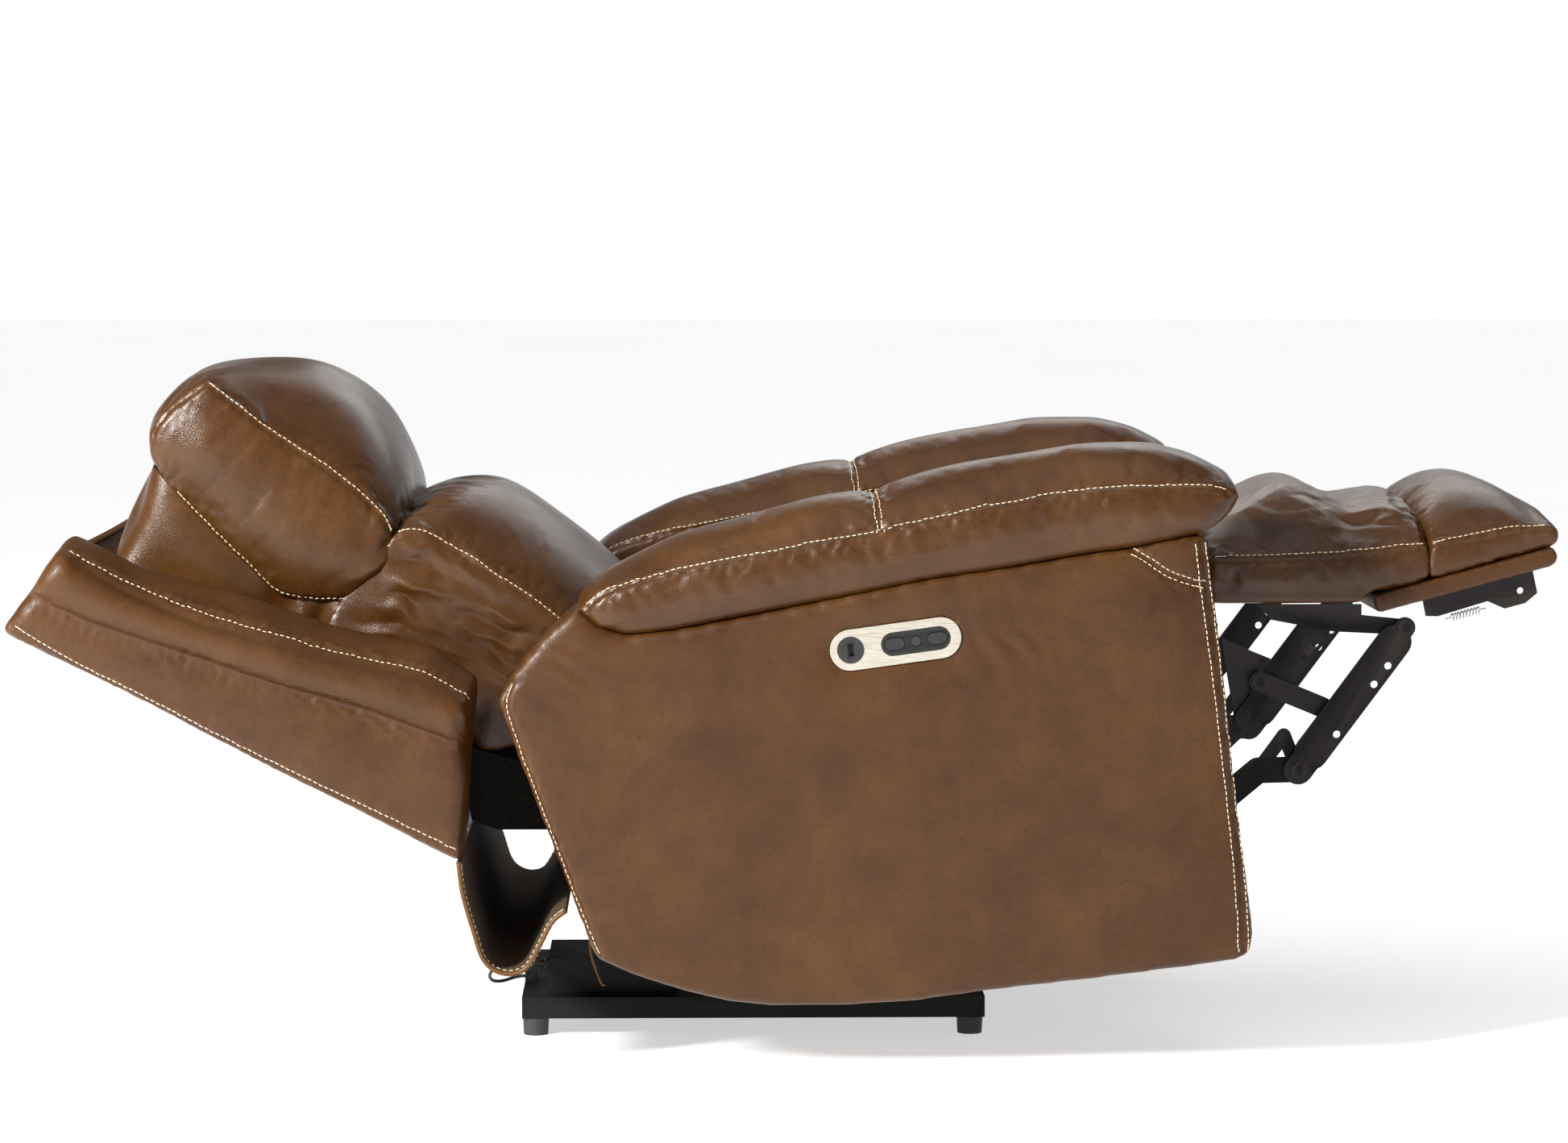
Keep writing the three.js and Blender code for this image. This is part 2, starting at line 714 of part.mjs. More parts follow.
const springAt = { x: flipperTip - 98, z: flipperTop(flipperTip - 98) - flipperThickness - 31 };
add("flipper_spring", new THREE.CylinderGeometry(4.5, 4.5, 46, 12)
  .rotateZ(Math.PI / 2)
  .rotateY(-degrees(flipperRise))
  .translate(springAt.x, -layer(bracketLayer), springAt.z), finish(0x55575a, 0.35, 0.9));

// ---- Back ---------------------------------------------------------------------------------------

const frameSide = wingInner - 3;
const hingeLayer = 1;

function backPlane(points) {
  return outline(points.map(([s, h]) => backPoint(s, h)));
}

const headLug = 6;
const lugSpread = 118;
const frameTop = backPanelThickness + gap + backFrameDepth;
const lugFoot = 300;
const frameBody = slab(backPlane([
  [8, backPanelThickness + gap],
  [backLength - 14, backPanelThickness + gap],
  [backLength - 14, frameTop],
  [52, frameTop],
]), -frameSide, frameSide);
const lowerRail = slab(outline([
  backPoint(2, backPanelThickness + 12),
  [backFoot.x + 40, backFoot.z + 12],
  [backFoot.x + 118, backFoot.z + 12],
  [backFoot.x + 112, pivots.back.z - 14],
  backPoint(60, frameTop),
]), -cushionWidth / 2, cushionWidth / 2);
const hingeArms = [-1, 1].flatMap((side) => [
  bar(pivots.back, { x: backFoot.x + 90, z: pivots.back.z - 18 }, 40, side * layer(hingeLayer)),
]);
const headLugs = [-1, 1].map((side) => slab(outline([
  backPoint(lugFoot - 34, frameTop - 2),
  backPoint(lugFoot + 34, frameTop - 2),
  [pivots.head.x - 14, pivots.head.z + 12],
  [pivots.head.x + 14, pivots.head.z + 12],
]), side * lugSpread - headLug / 2, side * lugSpread + headLug / 2));
add("back_frame", compose(
  [frameBody, lowerRail, ...hingeArms, ...headLugs],
  [-1, 1].flatMap((side) => [
    hole(pivots.back, side, hingeLayer),
    rod(pivots.head, pinRadius + running, side * lugSpread - headLug, side * lugSpread + headLug),
  ])), blackCloth());

add("back_panel", slab(backPlane([
  [0, 0],
  [backLength, 0],
  [backLength - 6, backPanelThickness],
  [4, backPanelThickness],
]), -frameSide, frameSide), leather());

addPair("wing", (side) => {
  const y = [side * wingInner, side * wingFace];
  return pillow(backPlane([
    [-6, 3],
    [backLength + 3, 0],
    [backLength - 7, 51],
    [backLength - 14, 113],
    [backLength - 90, 116],
    [backLength - 309, 152],
    [130, 181],
    [71, 176],
    [50, 123],
  ]), Math.min(...y), Math.max(...y), 12);
}, leather);

add("lumbar_cushion", pillow(outline([
  backPoint(238, frameTop + gap),
  [-512, 503],
  [-484, 554],
  [-456, 590],
  [-434, 622],
  [-422, 648],
  [-397, 653],
  [-358, 646],
  [-280, 604],
  [-207, 546],
  [-180, 500],
  [-168, 452],
  [-178, 408],
  [-202, 378],
  backPoint(64, frameTop + gap),
]), -cushionWidth / 2, cushionWidth / 2, 14), leather());

// Leather skirt, which hangs from the back's lower edge and curls in under the seat.
const skirtLine = new THREE.CatmullRomCurve3([
  [-379, 236], [-374, 200], [-362, 158], [-352, 128], [-338, 114], [-320, 110], [-303, 117],
  [-289, 140], [-274, 168], [-258, 181],
].map(([x, z]) => new THREE.Vector3(x, z, 0)), false, "centripetal");
const skirtPoints = skirtLine.getPoints(26);
const skirtEdge = (offset) => skirtPoints.map((p, i) => {
  const along = skirtLine.getTangent(i / 26);
  return [p.x - along.y * offset, p.y + along.x * offset];
});
add("rear_skirt", slab(outline([
  ...skirtEdge(skirtThickness / 2),
  ...skirtEdge(-skirtThickness / 2).reverse(),
]), -wingFace + 8, wingFace - 8), leather());

// ---- Headrest -----------------------------------------------------------------------------------

const sole = { x: -590, z: 536, length: 166, angle: 43 }; // of the pillow's rear face
const headPlate = { start: 12, end: 146, thickness: 4 };

// A point on the sole, measured back from its lower corner, and below it by depth.
function solePoint(along, depth) {
  const angle = degrees(sole.angle);
  return [
    sole.x - along * Math.cos(angle) - depth * Math.sin(angle),
    sole.z + along * Math.sin(angle) - depth * Math.cos(angle),
  ];
}

const headArmY = lugSpread - headLug - gap;
const pointOf = ([x, z]) => ({ x, z });
const headElbow = pointOf(solePoint(8, 14));
const headArmRoot = pointOf(solePoint(34, 6.5));
add("headrest_frame", compose([
  slab(outline([
    solePoint(headPlate.start, gap),
    solePoint(headPlate.end, gap),
    solePoint(headPlate.end, gap + headPlate.thickness),
    solePoint(headPlate.start, gap + headPlate.thickness),
  ]), -headArmY - 3, headArmY + 3),
  ...[-1, 1].flatMap((side) => [
    bar(pivots.head, headElbow, 12, side * headArmY, headLug),
    bar(headElbow, headArmRoot, 12, side * headArmY, headLug),
    rod(pivots.head, pinRadius, ...(side > 0
      ? [headArmY, lugSpread + headLug / 2 + 2]
      : [-lugSpread - headLug / 2 - 2, -headArmY])),
  ]),
], []), blackSteel());

add("headrest_cushion", pillow(outline([
  [-527, 530],
  solePoint(0, 0),
  solePoint(sole.length, 0),
  [-739, 694],
  [-734, 722],
  [-712, 757],
  [-680, 778],
  [-642, 788],
  [-606, 791],
  [-566, 785],
  [-519, 767],
  [-472, 727],
  [-448, 690],
  [-438, 652],
  [-440, 632],
  [-466, 592],
  [-494, 558],
]), -cushionWidth / 2, cushionWidth / 2, 24), leather());

export default root;
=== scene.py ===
# Power recliner armchair: the leather, stitching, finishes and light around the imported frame.
# Row frame: +X is the front of the chair, +Y the sitter's left, +Z up. Lists of points are in
# millimetres and everything passed to Blender is in metres.
import json
import math

import bmesh
import bpy
import numpy as np
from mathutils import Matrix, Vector
from mathutils.bvhtree import BVHTree


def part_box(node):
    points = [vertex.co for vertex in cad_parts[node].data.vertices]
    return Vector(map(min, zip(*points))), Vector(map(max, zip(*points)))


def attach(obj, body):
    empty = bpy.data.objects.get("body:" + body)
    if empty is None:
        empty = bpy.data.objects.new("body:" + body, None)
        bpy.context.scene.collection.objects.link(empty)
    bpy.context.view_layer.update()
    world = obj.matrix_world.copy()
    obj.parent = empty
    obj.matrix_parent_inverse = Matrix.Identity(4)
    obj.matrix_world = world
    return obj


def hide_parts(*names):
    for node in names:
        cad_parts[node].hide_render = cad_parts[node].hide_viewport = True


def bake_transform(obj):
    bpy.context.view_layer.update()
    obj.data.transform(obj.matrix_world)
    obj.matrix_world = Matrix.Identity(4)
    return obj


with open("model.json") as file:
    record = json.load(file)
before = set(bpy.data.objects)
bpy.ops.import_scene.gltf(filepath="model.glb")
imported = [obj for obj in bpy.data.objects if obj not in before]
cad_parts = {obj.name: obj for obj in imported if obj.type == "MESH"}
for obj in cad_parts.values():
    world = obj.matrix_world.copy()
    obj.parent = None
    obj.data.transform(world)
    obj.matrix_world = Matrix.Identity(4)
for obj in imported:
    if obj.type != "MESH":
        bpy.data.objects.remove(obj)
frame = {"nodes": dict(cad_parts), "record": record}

MM = 0.001
NODES = frame["nodes"]
SCENE = bpy.context.scene
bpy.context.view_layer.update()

# ---- Camera -------------------------------------------------------------------------------------

CAMERA_PLACE = (-0.128, -5.70, 0.955)
CAMERA_TURN = (85.76, 0.0, -1.244)  # degrees
CAMERA_LENS = 108.8
SENSOR_WIDTH = 36.0

camera = bpy.data.objects.new("camera", bpy.data.cameras.new("camera"))
camera.location = CAMERA_PLACE
camera.rotation_euler = [math.radians(a) for a in CAMERA_TURN]
camera.data.lens = CAMERA_LENS
camera.data.sensor_width = SENSOR_WIDTH
SCENE.collection.objects.link(camera)
SCENE.camera = camera


# ---- Lines --------------------------------------------------------------------------------------

def spline(points, per_span=10):
    """A smooth line through the points."""
    p = np.asarray(points, float)
    last = len(p) - 1
    t = np.linspace(0, 1, per_span, endpoint=False)[:, None]
    spans = []
    for i in range(last):
        a, b, c, d = (p[min(max(i + k, 0), last)] for k in (-1, 0, 1, 2))
        spans.append(0.5 * (2 * b + (c - a) * t + (2 * a - 5 * b + 4 * c - d) * t ** 2
                            + (3 * b - a - 3 * c + d) * t ** 3))
    spans.append(p[-1:])
    return np.vstack(spans)


def evenly(line, step):
    """The same line with its points a step apart."""
    along = np.r_[0, np.cumsum(np.linalg.norm(np.diff(line, axis=0), axis=1))]
    count = max(2, int(round(along[-1] / step)) + 1)
    at = np.linspace(0, along[-1], count)
    return np.column_stack([np.interp(at, along, line[:, k]) for k in range(line.shape[1])])


def side_line(points, y):
    """A smooth line in a side view, at one distance across the chair, in metres."""
    flat = spline(points)
    return np.column_stack([flat[:, 0], np.full(len(flat), y), flat[:, 1]]) * MM


def space_line(points):
    return spline(points) * MM


def mirrored(line):
    return line * (1, -1, 1)


# ---- The power lead, which comes before the other pieces ----------------------------------------

def new_object(name, vertices, faces):
    mesh = bpy.data.meshes.new(name)
    mesh.from_pydata([tuple(map(float, v)) for v in vertices], [], faces)
    mesh.update()
    made = bpy.data.objects.new(name, mesh)
    SCENE.collection.objects.link(made)
    return made


def ring_faces(rings, sides):
    """Faces of a closed form: its walls from ring to ring, and its two ends."""
    faces = []
    for i in range(rings - 1):
        for k in range(sides):
            a, b = i * sides + k, i * sides + (k + 1) % sides
            faces.append((a, b, b + sides, a + sides))
    faces.append(tuple(range(sides))[::-1])
    faces.append(tuple(range((rings - 1) * sides, rings * sides)))
    return faces


def tube(name, line, radius, sides):
    """A closed round tube along a line."""
    ahead = np.gradient(line, axis=0)
    ahead /= np.linalg.norm(ahead, axis=1, keepdims=True)
    across = np.cross(ahead[0], (0.13, 0.21, 0.97))
    across /= np.linalg.norm(across)
    rings = []
    for p, t in zip(line, ahead):
        across = across - t * (across @ t)
        across /= np.linalg.norm(across)
        other = np.cross(t, across)
        turn = np.linspace(0, 2 * math.pi, sides, endpoint=False)[:, None]
        rings.append(p + radius * (np.cos(turn) * across + np.sin(turn) * other))
    return new_object(name, np.vstack(rings), ring_faces(len(line), sides))


LEAD_RADIUS = 2.0
LEAD_ROUTE = [
    (-300.3, -110, 73.6),
    (-307.8, -110, 73.6),
    (-315.4, -110, 73.5),
    (-322.9, -110.1, 73.2),
    (-330.4, -109.6, 72.6),
    (-337.8, -108.5, 71.5),
    (-344.8, -106.5, 69.5),
    (-350.9, -103.4, 66.4),
    (-355.3, -99.1, 62.1),
    (-357.2, -94.1, 56.9),
    (-356.2, -88.4, 52.1),
    (-352.7, -82.6, 48.8),
    (-347.9, -77, 47.3),
    (-342.6, -71.7, 47),
    (-337, -66.7, 47.8),
    (-330.8, -62.6, 49.2),
    (-323.8, -60.4, 50.5),
    (-316.3, -60, 51.3),
]


def make_lead():
    route = evenly(space_line(LEAD_ROUTE), 0.002)
    cord = tube("power_cord", route, LEAD_RADIUS * MM, 14)
    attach(cord, "base")
    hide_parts("power_lead")
    return cord


lead = make_lead()


# ---- Materials ----------------------------------------------------------------------------------

class Shader:
    """One material's node tree, with the few moves that every finish here needs."""

    def __init__(self, name):
        self.material = bpy.data.materials.new(name)
        self.material.use_nodes = True
        self.tree = self.material.node_tree
        self.surface = self.tree.nodes["Principled BSDF"]
        self.place = self.node("ShaderNodeTexCoord").outputs["Object"]

    def node(self, kind, **settings):
        made = self.tree.nodes.new(kind)
        for key, value in settings.items():
            setattr(made, key, value)
        return made

    def link(self, source, target):
        self.tree.links.new(source, target)

    def stretched(self, scale):
        mapping = self.node("ShaderNodeMapping")
        mapping.inputs["Scale"].default_value = scale
        self.link(self.place, mapping.inputs["Vector"])
        return mapping.outputs["Vector"]

    def noise(self, scale, detail=4, roughness=0.55, distortion=0, place=None):
        made = self.node("ShaderNodeTexNoise")
        made.inputs["Scale"].default_value = scale
        made.inputs["Detail"].default_value = detail
        made.inputs["Roughness"].default_value = roughness
        made.inputs["Distortion"].default_value = distortion
        self.link(place or self.place, made.inputs["Vector"])
        return made.outputs["Fac"]

    def cells(self, scale):
        made = self.node("ShaderNodeTexVoronoi", feature="DISTANCE_TO_EDGE")
        made.inputs["Scale"].default_value = scale
        self.link(self.place, made.inputs["Vector"])
        return made.outputs["Distance"]

    def ramp(self, value, stops):
        made = self.node("ShaderNodeValToRGB")
        elements = made.color_ramp.elements
        while len(elements) < len(stops):
            elements.new(0.5)
        for element, (position, color) in zip(elements, stops):
            element.position = position
            element.color = (*color, 1)
        self.link(value, made.inputs["Fac"])
        return made.outputs["Color"]

    def mix(self, factor, first, second):
        made = self.node("ShaderNodeMix", data_type="RGBA")
        if isinstance(factor, float):
            made.inputs[0].default_value = factor
        else:
            self.link(factor, made.inputs[0])
        for socket, value in ((made.inputs[6], first), (made.inputs[7], second)):
            if isinstance(value, tuple):
                socket.default_value = (*value, 1)
            else:
                self.link(value, socket)
        return made.outputs[2]

    def span(self, value, low, high, start=0.3, end=0.7):
        made = self.node("ShaderNodeMapRange")
        for key, number in (("From Min", start), ("From Max", end), ("To Min", low),
                            ("To Max", high)):
            made.inputs[key].default_value = number
        self.link(value, made.inputs["Value"])
        return made.outputs["Result"]

    def bump(self, height, strength, distance, under=None):
        made = self.node("ShaderNodeBump")
        made.inputs["Strength"].default_value = strength
        made.inputs["Distance"].default_value = distance
        self.link(height, made.inputs["Height"])
        if under is not None:
            self.link(under, made.inputs["Normal"])
        return made.outputs["Normal"]

    def wear(self, low, high):
        edge = self.node("ShaderNodeNewGeometry").outputs["Pointiness"]
        return self.span(edge, 0.0, 1.0, low, high)

    def finish(self, color=None, roughness=None, normal=None, **fixed):
        for socket, value in (("Base Color", color), ("Roughness", roughness), ("Normal", normal)):
            if value is not None:
                self.link(value, self.surface.inputs[socket])
        for key, value in fixed.items():
            self.surface.inputs[key.replace("_", " ")].default_value = value
        return self.material


def leather(name, dark, middle, gold, rough=(0.36, 0.46), shine=0.30, coat=0.06):
    """Antiqued leather: cloudy brown with golden patches, a pebble grain and rubbed edges."""
    s = Shader(name)
    clouds = s.noise(6.5, 6, 0.6, 0.4)
    patches = s.noise(22, 5, 0.62)
    base = s.ramp(clouds, [(0.30, dark), (0.52, middle), (0.76, gold)])
    tint = s.ramp(patches, [(0.35, tuple(c * 0.72 for c in middle)), (0.66, gold)])
    color = s.mix(0.34, base, tint)
    specks = s.span(s.noise(210, 3, 0.7), 0.0, 0.5, 0.52, 0.75)
    color = s.mix(specks, color, tuple(c * 0.55 for c in dark))
    color = s.mix(s.wear(0.515, 0.58), color, tuple(min(1, c * 1.25) for c in gold))
    grain = s.cells(430)
    pores = s.noise(900, 3, 0.6)
    folds = s.noise(48, 4, 0.6, 0.8)
    normal = s.bump(folds, 0.12, 0.0018)
    normal = s.bump(s.span(grain, 0, 1, 0.0, 0.22), 0.30, 0.00035, normal)
    normal = s.bump(pores, 0.10, 0.0003, normal)
    rough = s.span(patches, *rough)
    return s.finish(color, rough, normal, IOR=1.45, Specular_IOR_Level=shine, Coat_Weight=coat,
                    Coat_Roughness=0.20)


def cloth(name, dark, light, scale=900):
    s = Shader(name)
    weave = s.noise(scale, 2, 0.5, place=s.stretched((1, 1, 0.3)))
    cross = s.noise(scale, 2, 0.5, place=s.stretched((0.3, 0.3, 1)))
    threads = s.mix(0.5, weave, cross)
    color = s.ramp(threads, [(0.4, dark), (0.62, light)])
    return s.finish(color, s.span(weave, 0.85, 1.0), s.bump(threads, 0.5, 0.0004),
                    Sheen_Weight=0.05, Sheen_Roughness=0.5, Specular_IOR_Level=0.15)


def coated(name, dark, light, metallic, low, high, grain=520, bump=0.18, shine=0.5):
    """Paint, plastic or plated steel: fine texture, cloudy gloss and edges rubbed lighter."""
    s = Shader(name)
    clouds = s.noise(14, 4)
    color = s.ramp(clouds, [(0.35, dark), (0.68, light)])
    worn = tuple(min(1, c * 1.8 + 0.012) for c in light)
    color = s.mix(s.wear(0.53, 0.62), color, worn)
    texture = s.noise(grain, 3, 0.6)
    return s.finish(color, s.span(clouds, low, high), s.bump(texture, bump, 0.0002),
                    Metallic=metallic, Specular_IOR_Level=shine)


def brushed(name, dark, light, direction, low=0.24, high=0.42):
    s = Shader(name)
    lines = s.noise(260, 3, 0.65, place=s.stretched(direction))
    color = s.ramp(lines, [(0.35, dark), (0.7, light)])
    return s.finish(color, s.span(lines, low, high), s.bump(lines, 0.12, 0.0002), Metallic=0.95)


def plywood(name):
    s = Shader(name)
    figure = s.noise(9, 5, 0.6, 0.6, s.stretched((1, 6, 6)))
    fibre = s.noise(160, 3, 0.6, place=s.stretched((0.2, 3, 3)))
    color = s.ramp(figure, [(0.3, (0.36, 0.23, 0.12)), (0.7, (0.62, 0.45, 0.27))])
    color = s.mix(s.span(fibre, 0, 0.4), color, (0.25, 0.15, 0.07))
    return s.finish(color, s.span(fibre, 0.6, 0.8), s.bump(fibre, 0.3, 0.0003))


def thread(name):
    s = Shader(name)
    twist = s.noise(1500, 2, 0.5, place=s.stretched((1, 0.4, 1)))
    color = s.ramp(twist, [(0.35, (0.50, 0.38, 0.23)), (0.65, (0.82, 0.72, 0.54))])
    return s.finish(color, s.span(twist, 0.55, 0.75), s.bump(twist, 0.4, 0.0002))


DARK = (0.038, 0.0115, 0.0018)
BROWN = (0.055, 0.0195, 0.0032)
GOLD = (0.084, 0.034, 0.0064)
MATERIALS = {
    "cushion_leather": leather("cushion_leather", DARK, BROWN, GOLD, (0.27, 0.38), 0.36, 0.11),
    "panel_leather": leather("panel_leather", DARK, BROWN, GOLD),
    "black_cloth": cloth("black_cloth", (0.004, 0.004, 0.003), (0.016, 0.015, 0.012)),
    "plywood": plywood("plywood"),
    "black_steel": coated("black_steel", (0.006, 0.005, 0.0045), (0.014, 0.012, 0.011), 0.4,
                          0.32, 0.46, shine=0.12),
    "bright_steel": brushed("bright_steel", (0.28, 0.28, 0.29), (0.55, 0.55, 0.56), (1, 1, 8)),
    "black_plastic": coated("black_plastic", (0.004, 0.004, 0.004), (0.009, 0.009, 0.009), 0.0,
                            0.20, 0.34, 900, 0.06, 0.3),
    "foot_plastic": coated("foot_plastic", (0.006, 0.006, 0.006), (0.014, 0.013, 0.013), 0.0,
                           0.50, 0.68, 700, 0.3, 0.25),
    "carriage_plastic": coated("carriage_plastic", (0.42, 0.42, 0.40), (0.56, 0.56, 0.53), 0.0,
                               0.42, 0.58, 600, 0.15),
    "bezel": brushed("bezel", (0.50, 0.45, 0.37), (0.80, 0.75, 0.66), (0.15, 1, 6), 0.22, 0.36),
    "lead": coated("lead", (0.006, 0.006, 0.006), (0.012, 0.012, 0.012), 0.0, 0.42, 0.55, 700,
                   0.1),
}
THREAD = thread("thread")
CAVE = cloth("dark_lining", (0.032, 0.017, 0.006), (0.086, 0.047, 0.018), 700)
BACK_LINING = leather("back_lining", DARK, BROWN, GOLD, (0.62, 0.74), 0.08, 0.0)
# Black steel for the base, painted much darker and less glossy than black_steel: the extra darkness is
# painted shade for the shadow under the chair.
BASE_STEEL_WITH_PAINTED_SHADE = coated("base_steel_painted_shade", (0.0012, 0.0011, 0.0010), (0.0026, 0.0024, 0.0022), 0.3,
                    0.46, 0.60, shine=0.03)


# ---- Meshes -------------------------------------------------------------------------------------

def vectors(items, key):
    """One vector of each vertex or face of a mesh."""
    flat = np.empty(len(items) * 3, np.float32)
    items.foreach_get(key, flat)
    return flat.reshape(-1, 3)


def positions(piece):
    return vectors(piece.data.vertices, "co").astype(float)


def set_positions(piece, places):
    piece.data.vertices.foreach_set("co", places.astype(np.float32).ravel())
    piece.data.update()


def push(piece, amount):
    """Moves each point along its normal."""
    normals = vectors(piece.data.vertex_normals, "vector").astype(float)
    set_positions(piece, positions(piece) + normals * amount[:, None])


def shade_smooth(mesh):
    mesh.polygons.foreach_set("use_smooth", np.ones(len(mesh.polygons), bool))


def bake(piece):
    """Applies the piece's modifiers."""
    graph = bpy.context.evaluated_depsgraph_get()
    graph.update()
    made = bpy.data.meshes.new_from_object(piece.evaluated_get(graph))
    piece.modifiers.clear()
    piece.data = made


def relax(piece, rounds, weight=0.5):
    edges = np.empty(len(piece.data.edges) * 2, np.int32)
    piece.data.edges.foreach_get("vertices", edges)
    first, second = edges[0::2], edges[1::2]
    places = positions(piece)
    count = len(places)
    shared = np.maximum(np.bincount(edges, minlength=count), 1)
    for _ in range(rounds):
        total = np.column_stack([
            np.bincount(first, places[second, k], count) + np.bincount(second, places[first, k], count)
            for k in range(3)])
        places += weight * (total / shared[:, None] - places)
    set_positions(piece, places)


BATCH = 4000  # points compared at once


def distance_to(points, lines):
    """Each point's distance to the nearest of the lines."""
    marks = np.vstack([evenly(line, 0.003) for line in lines])
    best = np.empty(len(points))
    for start in range(0, len(points), BATCH):
        part = points[start:start + BATCH]
        squares = (part ** 2).sum(1)[:, None] - 2 * part @ marks.T + (marks ** 2).sum(1)
        best[start:start + BATCH] = np.sqrt(np.maximum(squares.min(1), 0))
    return best


WAVE_COUNT = 20


def waves(points, size, seed):
    """Smooth seeded unevenness, about one unit high, with bumps of about that size."""
    random = np.random.default_rng(seed)
    ways = random.normal(size=(WAVE_COUNT, 3))
    ways *= random.uniform(0.6, 1.4, (WAVE_COUNT, 1)) / np.linalg.norm(ways, axis=1, keepdims=True)
    phase = random.uniform(0, 2 * math.pi, WAVE_COUNT)
    turns = points @ (ways.T * 2 * math.pi / size) + phase
    return np.sin(turns).sum(1) / math.sqrt(WAVE_COUNT / 2)


LOFT_STATIONS = 41
LOFT_VOXEL = 0.005
OUTLINE_POINTS = 6  # on each span of an outline


def remesh(piece, voxel, rounds):
    """Rebuilds a closed form as an even fine mesh and eases its edges."""
    grid = piece.modifiers.new("grid", "REMESH")
    grid.mode = "VOXEL"
    grid.voxel_size = voxel
    bake(piece)
    relax(piece, rounds)
    return piece


def from_nodes(name, nodes, voxel, rounds, reshape=None):
    """A fine closed mesh over CAD solids, with its edges eased."""
    soup = bmesh.new()
    for node in nodes:
        soup.from_mesh(NODES[node].data)
    bmesh.ops.remove_doubles(soup, verts=soup.verts, dist=1e-5)
    mesh = bpy.data.meshes.new(name)
    soup.to_mesh(mesh)
    soup.free()
    piece = bpy.data.objects.new(name, mesh)
    SCENE.collection.objects.link(piece)
    if reshape:
        set_positions(piece, reshape(positions(piece)))
    return remesh(piece, voxel, rounds)


def outline_of(runs):
    """A closed outline made of smooth runs that meet at corners."""
    return np.vstack([spline(run, OUTLINE_POINTS)[:-1] for run in runs])


def loft(name, side, middle, half, power, rounds=4):
    """A pillow across the chair: one outline at its two sides swells to another in the middle."""
    edge, full = outline_of(side), outline_of(middle)
    ys = np.sin(np.linspace(-1, 1, LOFT_STATIONS) * math.pi / 2) * half
    count = len(edge)
    points = []
    for y in ys:
        flat = edge + (full - edge) * (1 - abs(y / half) ** power)
        points.append(np.column_stack([flat[:, 0], np.full(count, y), flat[:, 1]]) * MM)
    piece = new_object(name, np.vstack(points), ring_faces(len(ys), count))
    return remesh(piece, LOFT_VOXEL, rounds)


def on_surface(piece, line):
    """The line laid on the piece, with the surface's normals there."""
    tree = BVHTree.FromObject(piece, bpy.context.evaluated_depsgraph_get())
    hits = [tree.find_nearest(Vector(p)) for p in line]
    return np.array([h[0] for h in hits]), np.array([h[1] for h in hits])


CLOTH_FRAMES = 20
PRESSURE = 4.0


def inflate(piece, held, cap, extra):
    """Lets the cover swell under pressure as cloth, held at its seams and where it is fixed."""
    start = positions(piece)
    group = piece.vertex_groups.new(name="held")
    group.add([int(i) for i in np.flatnonzero(held)], 1.0, "REPLACE")
    cloth_sim = piece.modifiers.new("cover", "CLOTH")
    settings = cloth_sim.settings
    settings.vertex_group_mass = "held"
    settings.use_pressure = True
    settings.uniform_pressure_force = PRESSURE
    settings.shrink_min = -extra
    settings.quality = 5
    settings.effector_weights.gravity = 0
    cloth_sim.collision_settings.use_collision = False
    cloth_sim.point_cache.frame_start = 1
    cloth_sim.point_cache.frame_end = CLOTH_FRAMES
    for number in range(1, CLOTH_FRAMES + 1):
        SCENE.frame_set(number)
    bake(piece)
    SCENE.frame_set(1)
    moved = positions(piece) - start
    far = np.linalg.norm(moved, axis=1)
    moved *= (np.minimum(far, cap) / np.maximum(far, 1e-9))[:, None]
    set_positions(piece, start + moved)
    relax(piece, 1, 0.4)


def subdivide(piece):
    finer = piece.modifiers.new("finer", "SUBSURF")
    finer.levels = finer.render_levels = 1
    bake(piece)


# ---- Sewing -------------------------------------------------------------------------------------

STITCH_PITCH = 0.0068
STITCH_LENGTH = 0.0050
STITCH_RADIUS = 0.00062
STITCH_SIDES = 6
GROOVE_DEPTH = 0.0024
GROOVE_WIDTH = 0.0034
SEAM_STEP = 0.004
BESIDE = 0.0045  # from a seam to the stitches beside it


def groove(piece, lines):
    """Pulls the leather in along the seams, with small puckers beside them."""
    places = positions(piece)
    far = distance_to(places, lines)
    pull = -GROOVE_DEPTH * np.exp(-(far / GROOVE_WIDTH) ** 2)
    puckers = 0.16 * GROOVE_DEPTH * np.exp(-(far / (5 * GROOVE_WIDTH)) ** 2)
    push(piece, pull + puckers * waves(places, 0.014, 7))


def stitch_shape():
    """One stitch: a short arched thread along X, standing on Z = 0."""
    along = np.array([-1, -0.78, 0, 0.78, 1]) * STITCH_LENGTH / 2
    thick = np.array([0.35, 0.9, 1, 0.9, 0.35]) * STITCH_RADIUS
    rise = np.array([-0.4, 0.4, 0.9, 0.4, -0.4]) * STITCH_RADIUS
    turn = np.linspace(0, 2 * math.pi, STITCH_SIDES, endpoint=False)
    points = [(x, r * math.cos(a), h + r * math.sin(a))
              for x, r, h in zip(along, thick, rise) for a in turn]
    return np.array(points), ring_faces(len(along), STITCH_SIDES)


def steadied(line):
    """The line without its small wobbles."""
    window = 5
    padded = np.pad(line, ((window // 2, window // 2), (0, 0)), "edge")
    return np.column_stack([np.convolve(padded[:, k], np.full(window, 1 / window), "valid")
                            for k in range(3)])


def stitch_row(piece, line, beside):
    """Places of the stitches along a line, a set distance to one side of it."""
    at, up = on_surface(piece, evenly(line, STITCH_PITCH))
    ahead = np.gradient(steadied(at), axis=0)
    ahead /= np.linalg.norm(ahead, axis=1, keepdims=True)
    level = steadied(at + np.cross(up, ahead) * beside)
    hit, up = on_surface(piece, level)
    at = level + up * ((hit - level) * up).sum(1, keepdims=True)
    return at, up, ahead


